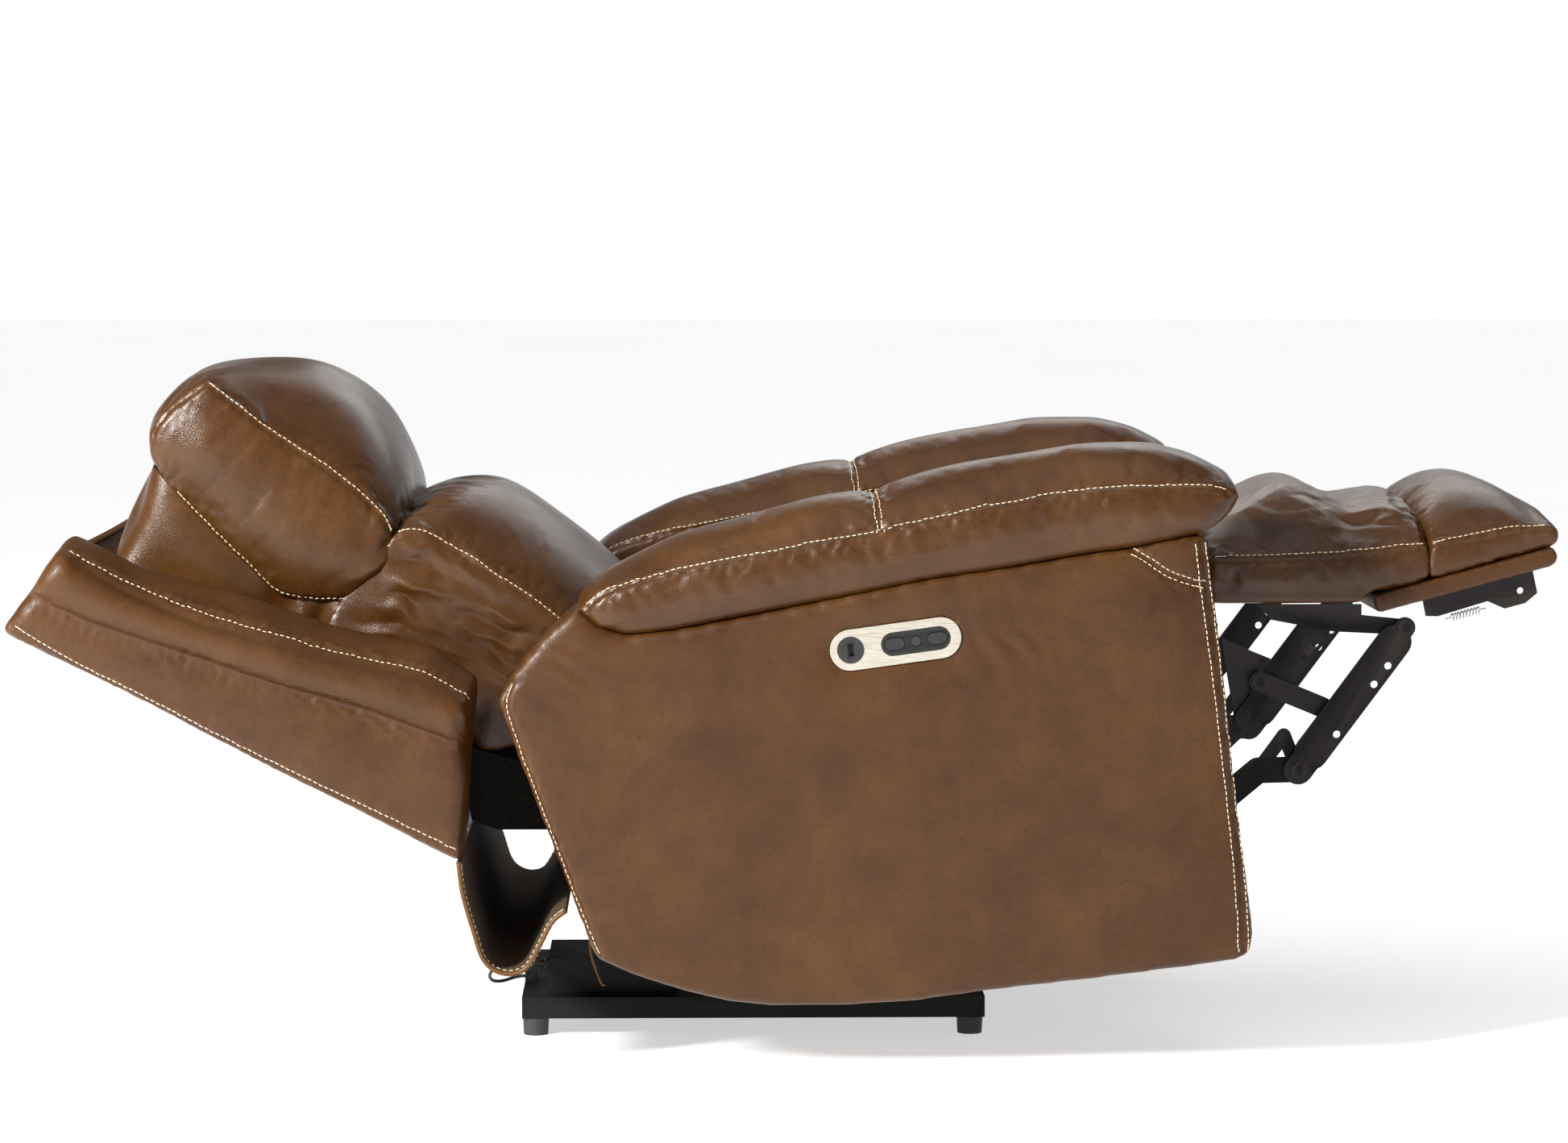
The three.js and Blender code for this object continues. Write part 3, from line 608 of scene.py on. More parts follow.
def sew(piece, rows, name=None):
    """Stitches for several lines as one mesh. rows holds (line, distance to one side)."""
    shape, shape_faces = stitch_shape()
    points, faces = [], []
    for line, beside in rows:
        at, up, ahead = stitch_row(piece, line, beside)
        across = np.cross(up, ahead)
        across /= np.linalg.norm(across, axis=1, keepdims=True)
        for p, x, y, z in zip(at, ahead, across, up):
            base = len(points) * len(shape)
            points.append(p + shape @ np.array([x, y, z]))
            faces += [tuple(base + i for i in face) for face in shape_faces]
    made = new_object(name or piece.name + "_stitches", np.vstack(points), faces)
    made.data.materials.append(THREAD)
    shade_smooth(made.data)
    return made


def creases(piece, centre, reach, direction, spacing, depth, seed):
    """Folds across a direction, strongest at the centre."""
    places = positions(piece)
    middle = np.array(centre) * MM
    near = np.exp(-(((places - middle) / (np.array(reach) * MM)) ** 2).sum(1))
    way = np.array(direction, float)
    way /= np.linalg.norm(way)
    phase = (places @ way) / (spacing * MM) * 2 * math.pi
    bent = np.sin(phase + 1.6 * waves(places, 0.11, seed) + 0.5 * waves(places, 0.04, seed + 1))
    fold = np.sign(bent) * np.abs(bent) ** 1.4
    push(piece, depth * MM * near * fold * (0.65 + 0.35 * waves(places, 0.07, seed + 2)))


def mirror(piece, name):
    mesh = piece.data.copy()
    made = bpy.data.objects.new(name, mesh)
    SCENE.collection.objects.link(made)
    set_positions(made, mirrored(positions(made)))
    mesh.flip_normals()
    return made


def settle(piece, body, slot, nodes=()):
    """Gives a finished piece its body, its finish and the CAD nodes that it stands for."""
    if not piece.data.materials:
        piece.data.materials.append(MATERIALS[slot])
    shade_smooth(piece.data)
    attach(piece, body)
    if nodes:
        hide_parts(*nodes)
    return piece


def settle_sewn(made, body, slot, nodes):
    """Settles a piece and its stitches."""
    piece, stitches = made
    settle(piece, body, slot, nodes)
    settle(stitches, body, slot)


def settle_sides(made, stem, body, slot, nodes, change=None):
    """Settles a right-hand piece, its stitches and their mirror images. change is its own."""
    piece, stitches = made
    pieces = piece, mirror(piece, stem + "_cover_left")
    threads = stitches, mirror(stitches, stem + "_left_stitches")
    if change:
        change(piece)
    for one, side in zip(pieces, ("_right", "_left")):
        settle(one, body, slot, [node + side for node in nodes])
    for one in threads:
        settle(one, body, slot)


HELD_BY_SEAM = 0.006  # how far from a seam the cover can't swell


def upholster(piece, seams, crown, reach, looseness, cap=None, extra=0.01):
    """Crowns the panels between the seams and makes the surface fine. With a cap, the cover also
    swells as cloth, by no more than that."""
    places = positions(piece)
    laid = [on_surface(piece, evenly(line, SEAM_STEP))[0] for line in seams]
    far = distance_to(places, laid)
    loose = looseness(places)
    push(piece, crown * MM * (1 - np.exp(-(far / (reach * MM)) ** 1.5)) * loose)
    if cap is not None:
        inflate(piece, (far < HELD_BY_SEAM) | (loose < 0.05), cap, extra)
    subdivide(piece)
    laid = [on_surface(piece, evenly(line, SEAM_STEP))[0] for line in seams]
    groove(piece, laid)
    return laid


def ramp_down(values, start, end):
    """1 before start, 0 after end, and smooth between."""
    share = np.clip((values - start) / (end - start), 0, 1)
    return 1 - share * share * (3 - 2 * share)


BULGE_KEPT = 0.3


def hold_back(piece, side, limit):
    """Presses a piece's bulge past a limit in y down to a share of itself, on one side of it."""
    places = positions(piece)
    beyond = np.maximum(side * places[:, 1] - limit, 0)
    places[:, 1] -= side * (1 - BULGE_KEPT) * beyond
    set_positions(piece, places)


# ---- Arms ---------------------------------------------------------------------------------------

PAD_SEAM = [(-245, 526), (-223, 543), (-169, 557), (-79, 574), (11, 592), (93, 608),
            (190, 630), (280, 646), (370, 656), (486, 657)]
PAD_CROSS_X = 92
CROWN_DROP = 0.72  # how much lower a pad's top is at its sides


def crown_across(places, seam, middle, half, power=2.4, drop=CROWN_DROP):
    """Lowers what stands above the seam towards the sides of a pad."""
    seam = np.asarray(seam, float) * MM
    level = np.interp(places[:, 0], seam[:, 0], seam[:, 1])
    share = np.clip(np.abs(places[:, 1] - middle) / half, 0, 1) ** power
    above = np.maximum(places[:, 2] - level, 0)
    lowered = places.copy()
    lowered[:, 2] -= above * share * drop
    return lowered


def make_arm_pad():
    low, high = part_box("arm_pad_right")
    middle, half = (low.y + high.y) / 2, (high.y - low.y) / 2
    piece = from_nodes("arm_pad_cover_right", ["arm_pad_right"], 0.005, 7)
    set_positions(piece, crown_across(positions(piece), PAD_SEAM, middle, half))
    relax(piece, 4)
    outer = side_line(PAD_SEAM, low.y / MM)
    inner = side_line(PAD_SEAM, high.y / MM)
    level = np.interp(PAD_CROSS_X, *np.array(PAD_SEAM).T)
    cross = space_line([
        (PAD_CROSS_X + 2, low.y / MM + 2, level), (PAD_CROSS_X - 1, low.y / MM + 18, level + 26),
        (PAD_CROSS_X - 4, middle / MM, level + 46), (PAD_CROSS_X - 1, high.y / MM - 18, level + 26),
        (PAD_CROSS_X + 2, high.y / MM - 2, level)])
    seams = [outer, inner, cross]
    base = np.array([(x, z - 46) for x, z in PAD_SEAM]) * MM

    def loose(places):
        floor = np.interp(places[:, 0], base[:, 0], base[:, 1])
        return ramp_down(floor - places[:, 2], -0.012, 0.004)

    laid = upholster(piece, seams, 5, 26, loose, 0.010)
    hold_back(piece, 1, high.y - 0.001)
    creases(piece, (86, -410, 600), (50, 60, 40), (1, 0, 0.3), 26, 0.5, 3)
    creases(piece, (450, -400, 640), (70, 80, 60), (0.4, 0, 1), 34, 0.6, 4)
    push(piece, 0.0008 * waves(positions(piece), 0.16, 5))
    rows = [(laid[0], BESIDE), (laid[1], -BESIDE), (laid[2], BESIDE), (laid[2], -BESIDE)]
    return piece, sew(piece, rows)


PANEL_REAR_SEAM = [(-318, 440), (-324, 414), (-303, 338), (-276, 265), (-249, 192), (-222, 131)]
PANEL_FRONT_SEAM = [(454, 598), (459, 553), (469, 481), (482, 390), (493, 300), (501, 208),
                    (505, 131)]
PANEL_CORNER = [(459, 549), (436, 553), (412, 563), (390, 579), (374, 590)]
CONTROL_TILT = 7.8


def make_arm():
    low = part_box("side_panel_right")[0]
    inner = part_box("arm_frame_right")[1].y

    def to_outer_face(places):
        places = places.copy()
        places[places[:, 1] < (low.y + inner) / 2, 1] = low.y
        return places

    piece = from_nodes("arm_cover_right", ["arm_frame_right"], 0.006, 4, to_outer_face)
    face = low.y / MM
    seams = [side_line(PANEL_REAR_SEAM, face), side_line(PANEL_FRONT_SEAM, face),
             side_line(PANEL_CORNER, face)]

    def loose(places):
        outward = ramp_down(places[:, 1], low.y + 0.01, low.y + 0.03)
        return 0.15 + 0.85 * outward

    laid = upholster(piece, seams, 3.2, 30, loose)
    places = positions(piece)
    outside = ramp_down(places[:, 1], low.y + 0.01, low.y + 0.03)
    push(piece, outside * 0.0007 * waves(places, 0.21, 11))
    creases(piece, (205, face, 478), (70, 30, 60), (0.9, 0, 0.35), 40, 0.8, 12)
    creases(piece, (-290, face, 470), (40, 40, 60), (0.5, 0, 0.8), 26, 0.9, 13)
    rows = [(laid[0], -0.0010), (laid[1], 0.0050), (laid[1], -0.0075), (laid[2], BESIDE),
            (laid[2], -BESIDE)]
    return piece, sew(piece, rows)


def recess(piece):
    """Opens the leather round the control plate, and lets it dip to the plate's rim."""
    low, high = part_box("control_bezel")
    tilt = math.radians(CONTROL_TILT)
    centre = (low + high) / 2
    places = positions(piece)
    along = (places[:, 0] - centre.x) * math.cos(tilt) + (places[:, 2] - centre.z) * math.sin(tilt)
    up = -(places[:, 0] - centre.x) * math.sin(tilt) + (places[:, 2] - centre.z) * math.cos(tilt)
    radius = 0.023
    reach = 0.074 - radius
    beyond = np.hypot(np.maximum(np.abs(along) - reach, 0), up) - radius
    outside = ramp_down(places[:, 1], low.y + 0.008, low.y + 0.02)
    dip = 0.0042 * np.exp(-np.maximum(beyond, 0) / 0.016) * outside
    places[:, 1] += dip
    set_positions(piece, places)
    ring = []
    for k in range(64):
        angle = 2 * math.pi * k / 64
        x = (radius + 0.0006) * math.cos(angle) + math.copysign(reach, math.cos(angle))
        z = (radius + 0.0006) * math.sin(angle)
        ring.append((centre.x + x * math.cos(tilt) - z * math.sin(tilt),
                     centre.z + x * math.sin(tilt) + z * math.cos(tilt)))
    front, back = low.y - 0.02, high.y + 0.0006
    points = [(x, front, z) for x, z in ring] + [(x, back, z) for x, z in ring]
    tool = new_object("recess_tool", points, ring_faces(2, len(ring)))
    check = bmesh.new()
    check.from_mesh(tool.data)
    bmesh.ops.recalc_face_normals(check, faces=check.faces)
    check.to_mesh(tool.data)
    check.free()
    hole = piece.modifiers.new("hole", "BOOLEAN")
    hole.operation = "DIFFERENCE"
    hole.solver = "EXACT"
    hole.object = tool
    bake(piece)
    bpy.data.objects.remove(tool)


settle_sides(make_arm_pad(), "arm_pad", "seat", "cushion_leather", ["arm_pad"])
settle_sides(make_arm(), "arm", "seat", "panel_leather", ["arm_frame", "side_panel"], recess)


# ---- Seat ---------------------------------------------------------------------------------------

def make_seat():
    low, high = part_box("seat_cushion")
    half = high.y
    piece = from_nodes("seat_cover", ["seat_cushion"], 0.006, 6)
    rear, front = low.x / MM, high.x / MM
    seam = [(rear + 12, 466), (rear + 200, 505), (front - 82, 566), (front - 24, 562), (front - 2, 528)]
    set_positions(piece, crown_across(positions(piece), seam, 0, half, 3, 0.55))
    sides = [side_line(seam, low.y / MM), side_line(seam, high.y / MM)]
    nose = space_line([(front - 70, y, 598 - 30 * (abs(y) / 254) ** 3) for y in range(-252, 253, 36)])

    def loose(places):
        floor = 0.372 + (places[:, 0] + 0.06) / 0.522 * 0.136
        return ramp_down(floor - places[:, 2], -0.022, 0.0)

    laid = upholster(piece, [*sides, nose], 3, 40, loose)
    push(piece, 0.0015 * waves(positions(piece), 0.12, 21))
    creases(piece, (300, 0, 580), (120, 220, 60), (1, 0.2, 0), 60, 1.5, 22)
    return piece, sew(piece, [(laid[0], BESIDE), (laid[1], -BESIDE), (laid[2], BESIDE)])


settle_sewn(make_seat(), "seat", "cushion_leather", ["seat_cushion"])


# ---- Back ---------------------------------------------------------------------------------------

def above_back(places):
    """Each point's height above the back's outer face."""
    return (places[:, 0] + 0.380) * 0.462 + (places[:, 2] - 0.241) * 0.887


HEAD_SIDE = [
    [(-671, 773), (-605, 718), (-522, 662), (-476, 623), (-458, 597)],
    [(-458, 597), (-472, 556), (-505, 516)],
    [(-505, 516), (-587, 523), (-630, 564), (-670, 602), (-711, 642)],
    [(-711, 642), (-736, 690), (-722, 732), (-671, 773)],
]
HEAD_MIDDLE = [
    [(-692, 773), (-626, 781), (-556, 772), (-490, 728), (-445, 648)],
    [(-445, 648), (-456, 596), (-500, 528)],
    [(-500, 528), (-560, 528), (-600, 545), (-656, 597), (-711, 648)],
    [(-711, 648), (-750, 690), (-736, 738), (-692, 773)],
]


def make_headrest():
    low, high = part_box("headrest_cushion")
    piece = loft("headrest_cover", HEAD_SIDE, HEAD_MIDDLE, high.y / MM, 2.3)
    top, _, piping, end = (side_line(run, low.y / MM) for run in HEAD_SIDE)
    ends = [top, piping, end]
    seams = ends + [mirrored(line) for line in ends]

    def loose(places):
        lean = (places[:, 0] + 0.590) * -0.682 - (places[:, 2] - 0.536) * 0.731
        side = 1 - ramp_down(np.abs(places[:, 1]), high.y - 0.02, high.y - 0.004)
        return np.maximum(0.3 * ramp_down(lean, -0.012, 0.002), side)

    laid = upholster(piece, seams, 20, 70, loose, 0.012)
    for side in (-1, 1):
        creases(piece, (-474, side * 262, 575), (34, 50, 56), (0.8, side * 0.1, -0.9), 26, 3.4, 31)
    push(piece, 0.0009 * waves(positions(piece), 0.15, 34))
    rows = [(laid[0], BESIDE), (laid[1], 0.0), (laid[3], -BESIDE), (laid[4], 0.0)]
    return piece, sew(piece, rows)


LUMBAR_SIDE = [
    [(-456, 596), (-429, 603), (-393, 581), (-337, 544), (-273, 499), (-225, 455)],
    [(-225, 455), (-206, 425), (-207, 392), (-232, 372)],
    [(-232, 372), (-310, 364), (-392, 356), (-468, 396), (-546, 436)],
    [(-546, 436), (-516, 505), (-486, 556), (-456, 596)],
]
LUMBAR_MIDDLE = [
    [(-438, 628), (-408, 648), (-368, 644), (-324, 625), (-256, 578), (-200, 526)],
    [(-200, 526), (-174, 478), (-173, 420), (-202, 379)],
    [(-202, 379), (-300, 366), (-392, 356), (-468, 396), (-546, 436)],
    [(-546, 436), (-508, 508), (-476, 566), (-438, 628)],
]


def make_lumbar():
    low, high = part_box("lumbar_cushion")
    piece = loft("lumbar_cover", LUMBAR_SIDE, LUMBAR_MIDDLE, high.y / MM, 2.3)
    near = side_line(LUMBAR_SIDE[0], low.y / MM)
    seams = [near, mirrored(near)]

    def loose(places):
        lift = above_back(places)
        side = 1 - ramp_down(np.abs(places[:, 1]), high.y - 0.02, high.y - 0.004)
        return ramp_down(0.102 - lift, -0.014, 0.0) * (0.4 + 0.6 * side)

    laid = upholster(piece, seams, 14, 60, loose, 0.010)
    for side in (-1, 1):
        hold_back(piece, side, high.y - 0.003)
    for side in (-1, 1):
        creases(piece, (-425, side * 262, 535), (72, 50, 56), (0.50, 0, 1), 40, 5.2, 41 + side)
        creases(piece, (-330, side * 262, 468), (80, 50, 44), (0.34, 0, 1), 30, 4.2, 44 + side)
    push(piece, 0.0011 * waves(positions(piece), 0.13, 48))
    return piece, sew(piece, [(laid[0], BESIDE), (laid[1], -BESIDE)])


WING_CREST = [(-812, 588), (-803, 571), (-755, 542), (-666, 505), (-531, 468), (-441, 449),
              (-387, 431), (-362, 419)]
WING_MIDDLE = [(-846, 539), (-798, 515), (-709, 483), (-574, 438), (-458, 402), (-368, 369)]
WING_HEM = [(-875, 503), (-784, 440), (-668, 381), (-533, 318), (-443, 277), (-379, 246)]
HEM_DROP = 0.006  # how far the lower edge hangs past the wing's board
END_STRETCH = 0.005  # and the upper end
WING_ROLL = 0.016  # how far the padded roll stands out between its two seams


def roll_between(places, upper, lower):
    """How far the padding stands out at each point between an upper and a lower seam."""
    above, below = (np.interp(places[:, 0], *np.array(line).T * MM) for line in (upper, lower))
    share = np.clip((places[:, 2] - below) / np.maximum(above - below, 1e-4), 0, 1)
    return WING_ROLL * np.sqrt(4 * share * (1 - share))


def make_wing():
    low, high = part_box("wing_right")
    middle, half = (low.y + high.y) / 2, (high.y - low.y) / 2
    piece = from_nodes("wing_cover_right", ["wing_right"], 0.005, 4)
    places = positions(piece)
    lift = above_back(places)
    raised = 1 - ramp_down(lift, 0.070, 0.135)
    tilt = (places[:, 1] - middle) / half * 0.016 * raised
    along = -(places[:, 0] + 0.380) * 0.887 + (places[:, 2] - 0.241) * 0.462
    tilt -= HEM_DROP * ramp_down(lift, 0.0, 0.07)
    stretch = END_STRETCH * (1 - ramp_down(along, 0.44, 0.54))
    places[:, 0] += 0.462 * tilt - 0.887 * stretch
    places[:, 2] += 0.887 * tilt + 0.462 * stretch
    places[:, 1] -= roll_between(places, WING_CREST, WING_MIDDLE) * ramp_down(places[:, 1], low.y, middle)
    set_positions(piece, places)
    relax(piece, 2)
    face = low.y / MM
    seams = [side_line(WING_CREST, face + 22), side_line(WING_MIDDLE, face), side_line(WING_HEM, face)]

    def loose(places):
        return 0.2 + 0.8 * ramp_down(places[:, 1], high.y - 0.03, high.y - 0.005)

    laid = upholster(piece, seams, 2.5, 26, loose)
    creases(piece, (-372, face, 400), (24, 40, 50), (1, 0, 0.3), 18, 1.2, 51)
    push(piece, 0.0008 * waves(positions(piece), 0.15, 52))
    return piece, sew(piece, [(laid[0], -BESIDE), (laid[2], 0.0040)])


settle_sewn(make_headrest(), "headrest", "cushion_leather", ["headrest_cushion"])
settle_sewn(make_lumbar(), "back", "cushion_leather", ["lumbar_cushion"])
settle_sides(make_wing(), "wing", "back", "panel_leather", ["wing"])


# ---- Footrest -----------------------------------------------------------------------------------

FOOT_SIDE = [
    [(484, 568), (540, 567), (612, 569), (668, 575), (735, 582)],
    [(735, 582), (737, 562), (735, 544)],
    [(735, 544), (700, 533), (664, 523)],
    [(664, 523), (663, 518), (661, 513)],
    [(661, 513), (570, 512), (482, 512)],
    [(482, 512), (480, 540), (484, 568)],
]
FOOT_MIDDLE = [
    [(484, 592), (540, 614), (596, 636), (655, 611), (735, 628)],
    [(735, 628), (738, 590), (735, 544)],
    *FOOT_SIDE[2:5],
    [(482, 512), (478, 550), (484, 592)],
]
FLIPPER_SIDE = [
    [(739, 583), (780, 589), (836, 600), (874, 603)],
    [(874, 603), (889, 596), (886, 581)],
    [(886, 581), (812, 560), (739, 540)],
    [(739, 540), (738, 562), (739, 583)],
]
FLIPPER_MIDDLE = [
    [(739, 629), (784, 642), (832, 634), (880, 607)],
    [(880, 607), (892, 596), (886, 581)],
    FLIPPER_SIDE[2],
    [(739, 540), (741, 590), (739, 629)],
]


def make_footrest():
    low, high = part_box("footrest_cushion")
    piece = loft("footrest_cover", FOOT_SIDE, FOOT_MIDDLE, high.y / MM, 3, rounds=3)
    near = side_line(FOOT_SIDE[0], low.y / MM)
    corner = np.array(FOOT_SIDE[0][-1]) * MM
    rise = (FOOT_MIDDLE[0][-1][1] - FOOT_SIDE[0][-1][1]) * MM
    ys = np.linspace(low.y, high.y, 60)
    front = np.column_stack([np.full(60, corner[0]), ys,
                             corner[1] + rise * (1 - np.abs(ys / high.y) ** 3)])
    seams = [near, mirrored(near), front]

    def loose(places):
        return ramp_down(-places[:, 2], -0.540, -0.526)

    laid = upholster(piece, seams, 4, 34, loose, 0.010, 0.02)
    for side in (-1, 1):
        creases(piece, (690, side * 190, 606), (60, 70, 50), (0.7, side * -0.8, 0), 52, 3.0, 61)
    creases(piece, (640, 0, 615), (80, 200, 50), (1, 0.1, 0.1), 74, 1.6, 64)
    return piece, sew(piece, [(laid[0], BESIDE), (laid[1], -BESIDE)])


def make_flipper():
    low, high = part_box("flipper_cushion")
    piece = loft("flipper_cover", FLIPPER_SIDE, FLIPPER_MIDDLE, high.y / MM, 3, rounds=3)
    near = side_line(FLIPPER_SIDE[0], low.y / MM)
    seams = [near, mirrored(near)]

    def loose(places):
        floor = 0.521 + (places[:, 0] - 0.673) * math.tan(math.radians(15))
        return ramp_down(floor - places[:, 2], -0.014, 0.0)

    laid = upholster(piece, seams, 3, 30, loose, 0.008)
    push(piece, 0.0008 * waves(positions(piece), 0.12, 71))
    return piece, sew(piece, [(laid[0], BESIDE), (laid[1], -BESIDE)])


def make_flipper_board():
    piece = from_nodes("flipper_board_cover", ["flipper_board"], 0.004, 3)
    push(piece, np.full(len(piece.data.vertices), 0.0012))
    subdivide(piece)
    return piece


settle_sewn(make_footrest(), "footrest", "cushion_leather", ["footrest_cushion", "footrest_board"])
settle_sewn(make_flipper(), "flipper", "cushion_leather", ["flipper_cushion"])
settle(make_flipper_board(), "flipper", "panel_leather", ["flipper_board"])


# ---- Leather sheets and panels ------------------------------------------------------------------

def double_sheet(name, grid, out, thickness):
    """A closed sheet of even thickness over a grid of points with their outward directions."""
    rows, columns = grid.shape[:2]
    layers = [(grid + sign * thickness / 2 * out).reshape(-1, 3) for sign in (1, -1)]
    size = rows * columns
    faces = []
    for i in range(rows - 1):
        for j in range(columns - 1):
            a, b = i * columns + j, i * columns + j + 1
            c, d = b + columns, a + columns
            faces.append((a, d, c, b))
            faces.append((size + a, size + b, size + c, size + d))
    border = list(range(columns))
    border += [i * columns + columns - 1 for i in range(1, rows)]
    border += [(rows - 1) * columns + j for j in range(columns - 2, -1, -1)]
    border += [i * columns for i in range(rows - 2, 0, -1)]
    for a, b in zip(border, border[1:] + border[:1]):
        faces.append((a, b, size + b, size + a))
    return new_object(name, np.vstack(layers), faces)


def ribbon(name, line, y_low, y_high, thickness, across=60, wave=None):
    """A sheet that follows a side-view line across the chair, with an even thickness."""
    line = evenly(spline(line), 4) * MM
    ahead = np.gradient(line, axis=0)
    ahead /= np.linalg.norm(ahead, axis=1, keepdims=True)
    ys = np.linspace(y_low, y_high, across) * MM
    out = np.repeat(np.column_stack([-ahead[:, 1], 0 * ahead[:, 0], ahead[:, 0]])[:, None], across, 1)
    grid = np.stack([np.repeat(line[:, :1], across, 1), np.tile(ys, (len(line), 1)),
                     np.repeat(line[:, 1:], across, 1)], 2)
    if wave is not None:
        along = np.linspace(0, 1, len(line))
        grid += out * np.column_stack([wave(along, y) + 0 * along for y in ys])[:, :, None]
    return double_sheet(name, grid, out, thickness * MM)


SKIRT_LINE = [(-379, 236), (-374, 200), (-362, 158), (-352, 128), (-338, 114), (-320, 110),
              (-303, 117), (-289, 140), (-274, 168), (-258, 181)]
SKIRT_THICKNESS = 4.6
SKIRT_MIDDLE = np.array([-0.318, 0, 0.185])  # the faces turned to it show the dark lining


def make_skirt():
    low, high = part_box("rear_skirt")
    piece = ribbon("skirt_leather", SKIRT_LINE, low.y / MM + 2, high.y / MM - 2, SKIRT_THICKNESS, 90,
                   lambda t, y: 0.0022 * np.sin(t * math.pi) * math.sin(y * 17 + 0.6))
    piece.data.materials.append(MATERIALS["panel_leather"])
    piece.data.materials.append(CAVE)
    polygons = piece.data.polygons
    facing = vectors(polygons, "normal")
    towards = SKIRT_MIDDLE - vectors(polygons, "center")
    inward = (facing * towards)[:, [0, 2]].sum(1) > 0.004
    inside = np.zeros(len(polygons), np.int32)
    inside[inward & (np.abs(facing[:, 1]) < 0.5)] = 1
    polygons.foreach_set("material_index", inside)
    shade_smooth(piece.data)
    return piece


def hang_skirt(piece):
    """Bakes the piece's placement into its mesh; the skirt's line already runs down from the back and in
    under the seat.
    """
    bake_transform(piece)


skirt = make_skirt()
skirt_edge = side_line(SKIRT_LINE, 0)
hem_lines = []
for hem_side in (-1, 1):
    hem = skirt_edge.copy()
    hem[:, 1] = hem_side * (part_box("rear_skirt")[1].y - 0.010)
    outward = np.gradient(hem, axis=0)
    outward = np.column_stack([-outward[:, 2], outward[:, 1], outward[:, 0]])
    outward /= np.linalg.norm(outward, axis=1, keepdims=True)
    hem_lines += [(hem + outward * 0.004, 0.0), (hem - outward * 0.004, 0.0)]
skirt_thread = sew(skirt, hem_lines, "skirt_stitches")
hang_skirt(skirt)
hang_skirt(skirt_thread)
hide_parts("rear_skirt")


def make_back_panel():
    piece = from_nodes("back_panel_cover", ["back_panel"], 0.005, 2)
    edge = [(-860, 494), (-700, 411), (-540, 327), (-400, 255)]
    seams = [side_line(edge, y) for y in (-300, 300)]
    top = space_line([(-862, y, 495) for y in range(-300, 301, 60)])

    def loose(places):
        lift = above_back(places)
        return ramp_down(lift, 0.004, 0.010)

    laid = upholster(piece, [*seams, top], 2.6, 34, loose)
    push(piece, 0.0007 * waves(positions(piece), 0.2, 81))
    return piece, sew(piece, [(laid[0], -BESIDE), (laid[1], BESIDE), (laid[2], BESIDE)])


settle_sewn(make_back_panel(), "back", "panel_leather", ["back_panel"])


BACK_COS = math.cos(math.radians(27.5))
BACK_SIN = math.sin(math.radians(27.5))
LINER_HEIGHT = 98.5  # above the back's outer face


def back_point(s, h):
    """A point s up the back and h out of it, in the side view, in millimetres."""
    return (-380 - s * BACK_COS + h * BACK_SIN, 241 + s * BACK_SIN + h * BACK_COS)


BOOT_HALF = 246
BOOT_FRONT = -503
BOOT_FOOT, BOOT_TOP = -784, -736  # where its rear wall starts and ends
BOOT_CORNER = 26
BOOT_COLUMNS, BOOT_ROWS = 260, 24
BOOT_EDGE = [(-765, 700), (-711, 650), (-670, 610), (-630, 573), (-587, 534), (-530, 528), (-500, 532)]


def boot_line(share):
    """The boot's line in plan, at a share of its height: forwards on each side and round the rear."""
    rear = BOOT_FOOT + (BOOT_TOP - BOOT_FOOT) * share
    turn = np.linspace(0, math.pi / 2, 7)
    corner = np.column_stack([rear + BOOT_CORNER * (1 - np.sin(turn)),
                              -BOOT_HALF + BOOT_CORNER * (1 - np.cos(turn))])
    half = np.vstack([[(BOOT_FRONT, -BOOT_HALF)], corner, [(rear, 0)]])
    line = np.vstack([half, half[-2::-1] * (1, -1)])
    along = np.r_[0, np.cumsum(np.linalg.norm(np.diff(line, axis=0), axis=1))]
    at = np.linspace(0, along[-1], BOOT_COLUMNS)
    return np.column_stack([np.interp(at, along, line[:, k]) for k in (0, 1)])


def make_boot():
    """Leather that closes the sides and the rear under the headrest, in folds."""
    rows = []
    for share in np.linspace(0, 1, BOOT_ROWS):
        plan = boot_line(share)
        foot = 241 + (LINER_HEIGHT + (-380 - plan[:, 0]) * BACK_SIN) / BACK_COS
        top = np.interp(plan[:, 0], *np.array(BOOT_EDGE).T)
        rows.append(np.column_stack([plan, foot + (top - foot) * share]))
    grid = np.array(rows) * MM
    along, up = np.gradient(grid, axis=1), np.gradient(grid, axis=0)
    out = np.cross(along, up)
    out /= np.linalg.norm(out, axis=2, keepdims=True)
    share = np.linspace(0, 1, BOOT_ROWS)[:, None]
    across = np.linspace(0, 1, BOOT_COLUMNS)[None, :]
    wave = np.sin(92 * across + 5 * np.sin(17 * across) + 1.4 * share)
    wave += 0.6 * np.sin(31 * across - 2 * share)
    grid += out * (0.0052 * wave * np.sin(math.pi * share))[:, :, None]
    piece = double_sheet("headrest_boot", grid, out, 0.0024)
    piece.data.materials.append(MATERIALS["cushion_leather"])
    shade_smooth(piece.data)
    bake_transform(piece)


def make_liner():
    """Leather over the back frame, behind the headrest."""
    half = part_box("back_frame")[1].y / MM - 1
    line = [back_point(s, LINER_HEIGHT + rise) for s, rise in (
        (236, 1), (300, 9), (370, 10), (440, 3), (500, 0), (544, -1))]
    piece = ribbon("back_liner", line, -half, half, 2.6, 90,
                   lambda t, y: 0.002 * np.sin(t * 21 + 9 * y) * np.sin(t * math.pi))
    piece.data.materials.append(BACK_LINING)
    return settle(piece, "back", "panel_leather")


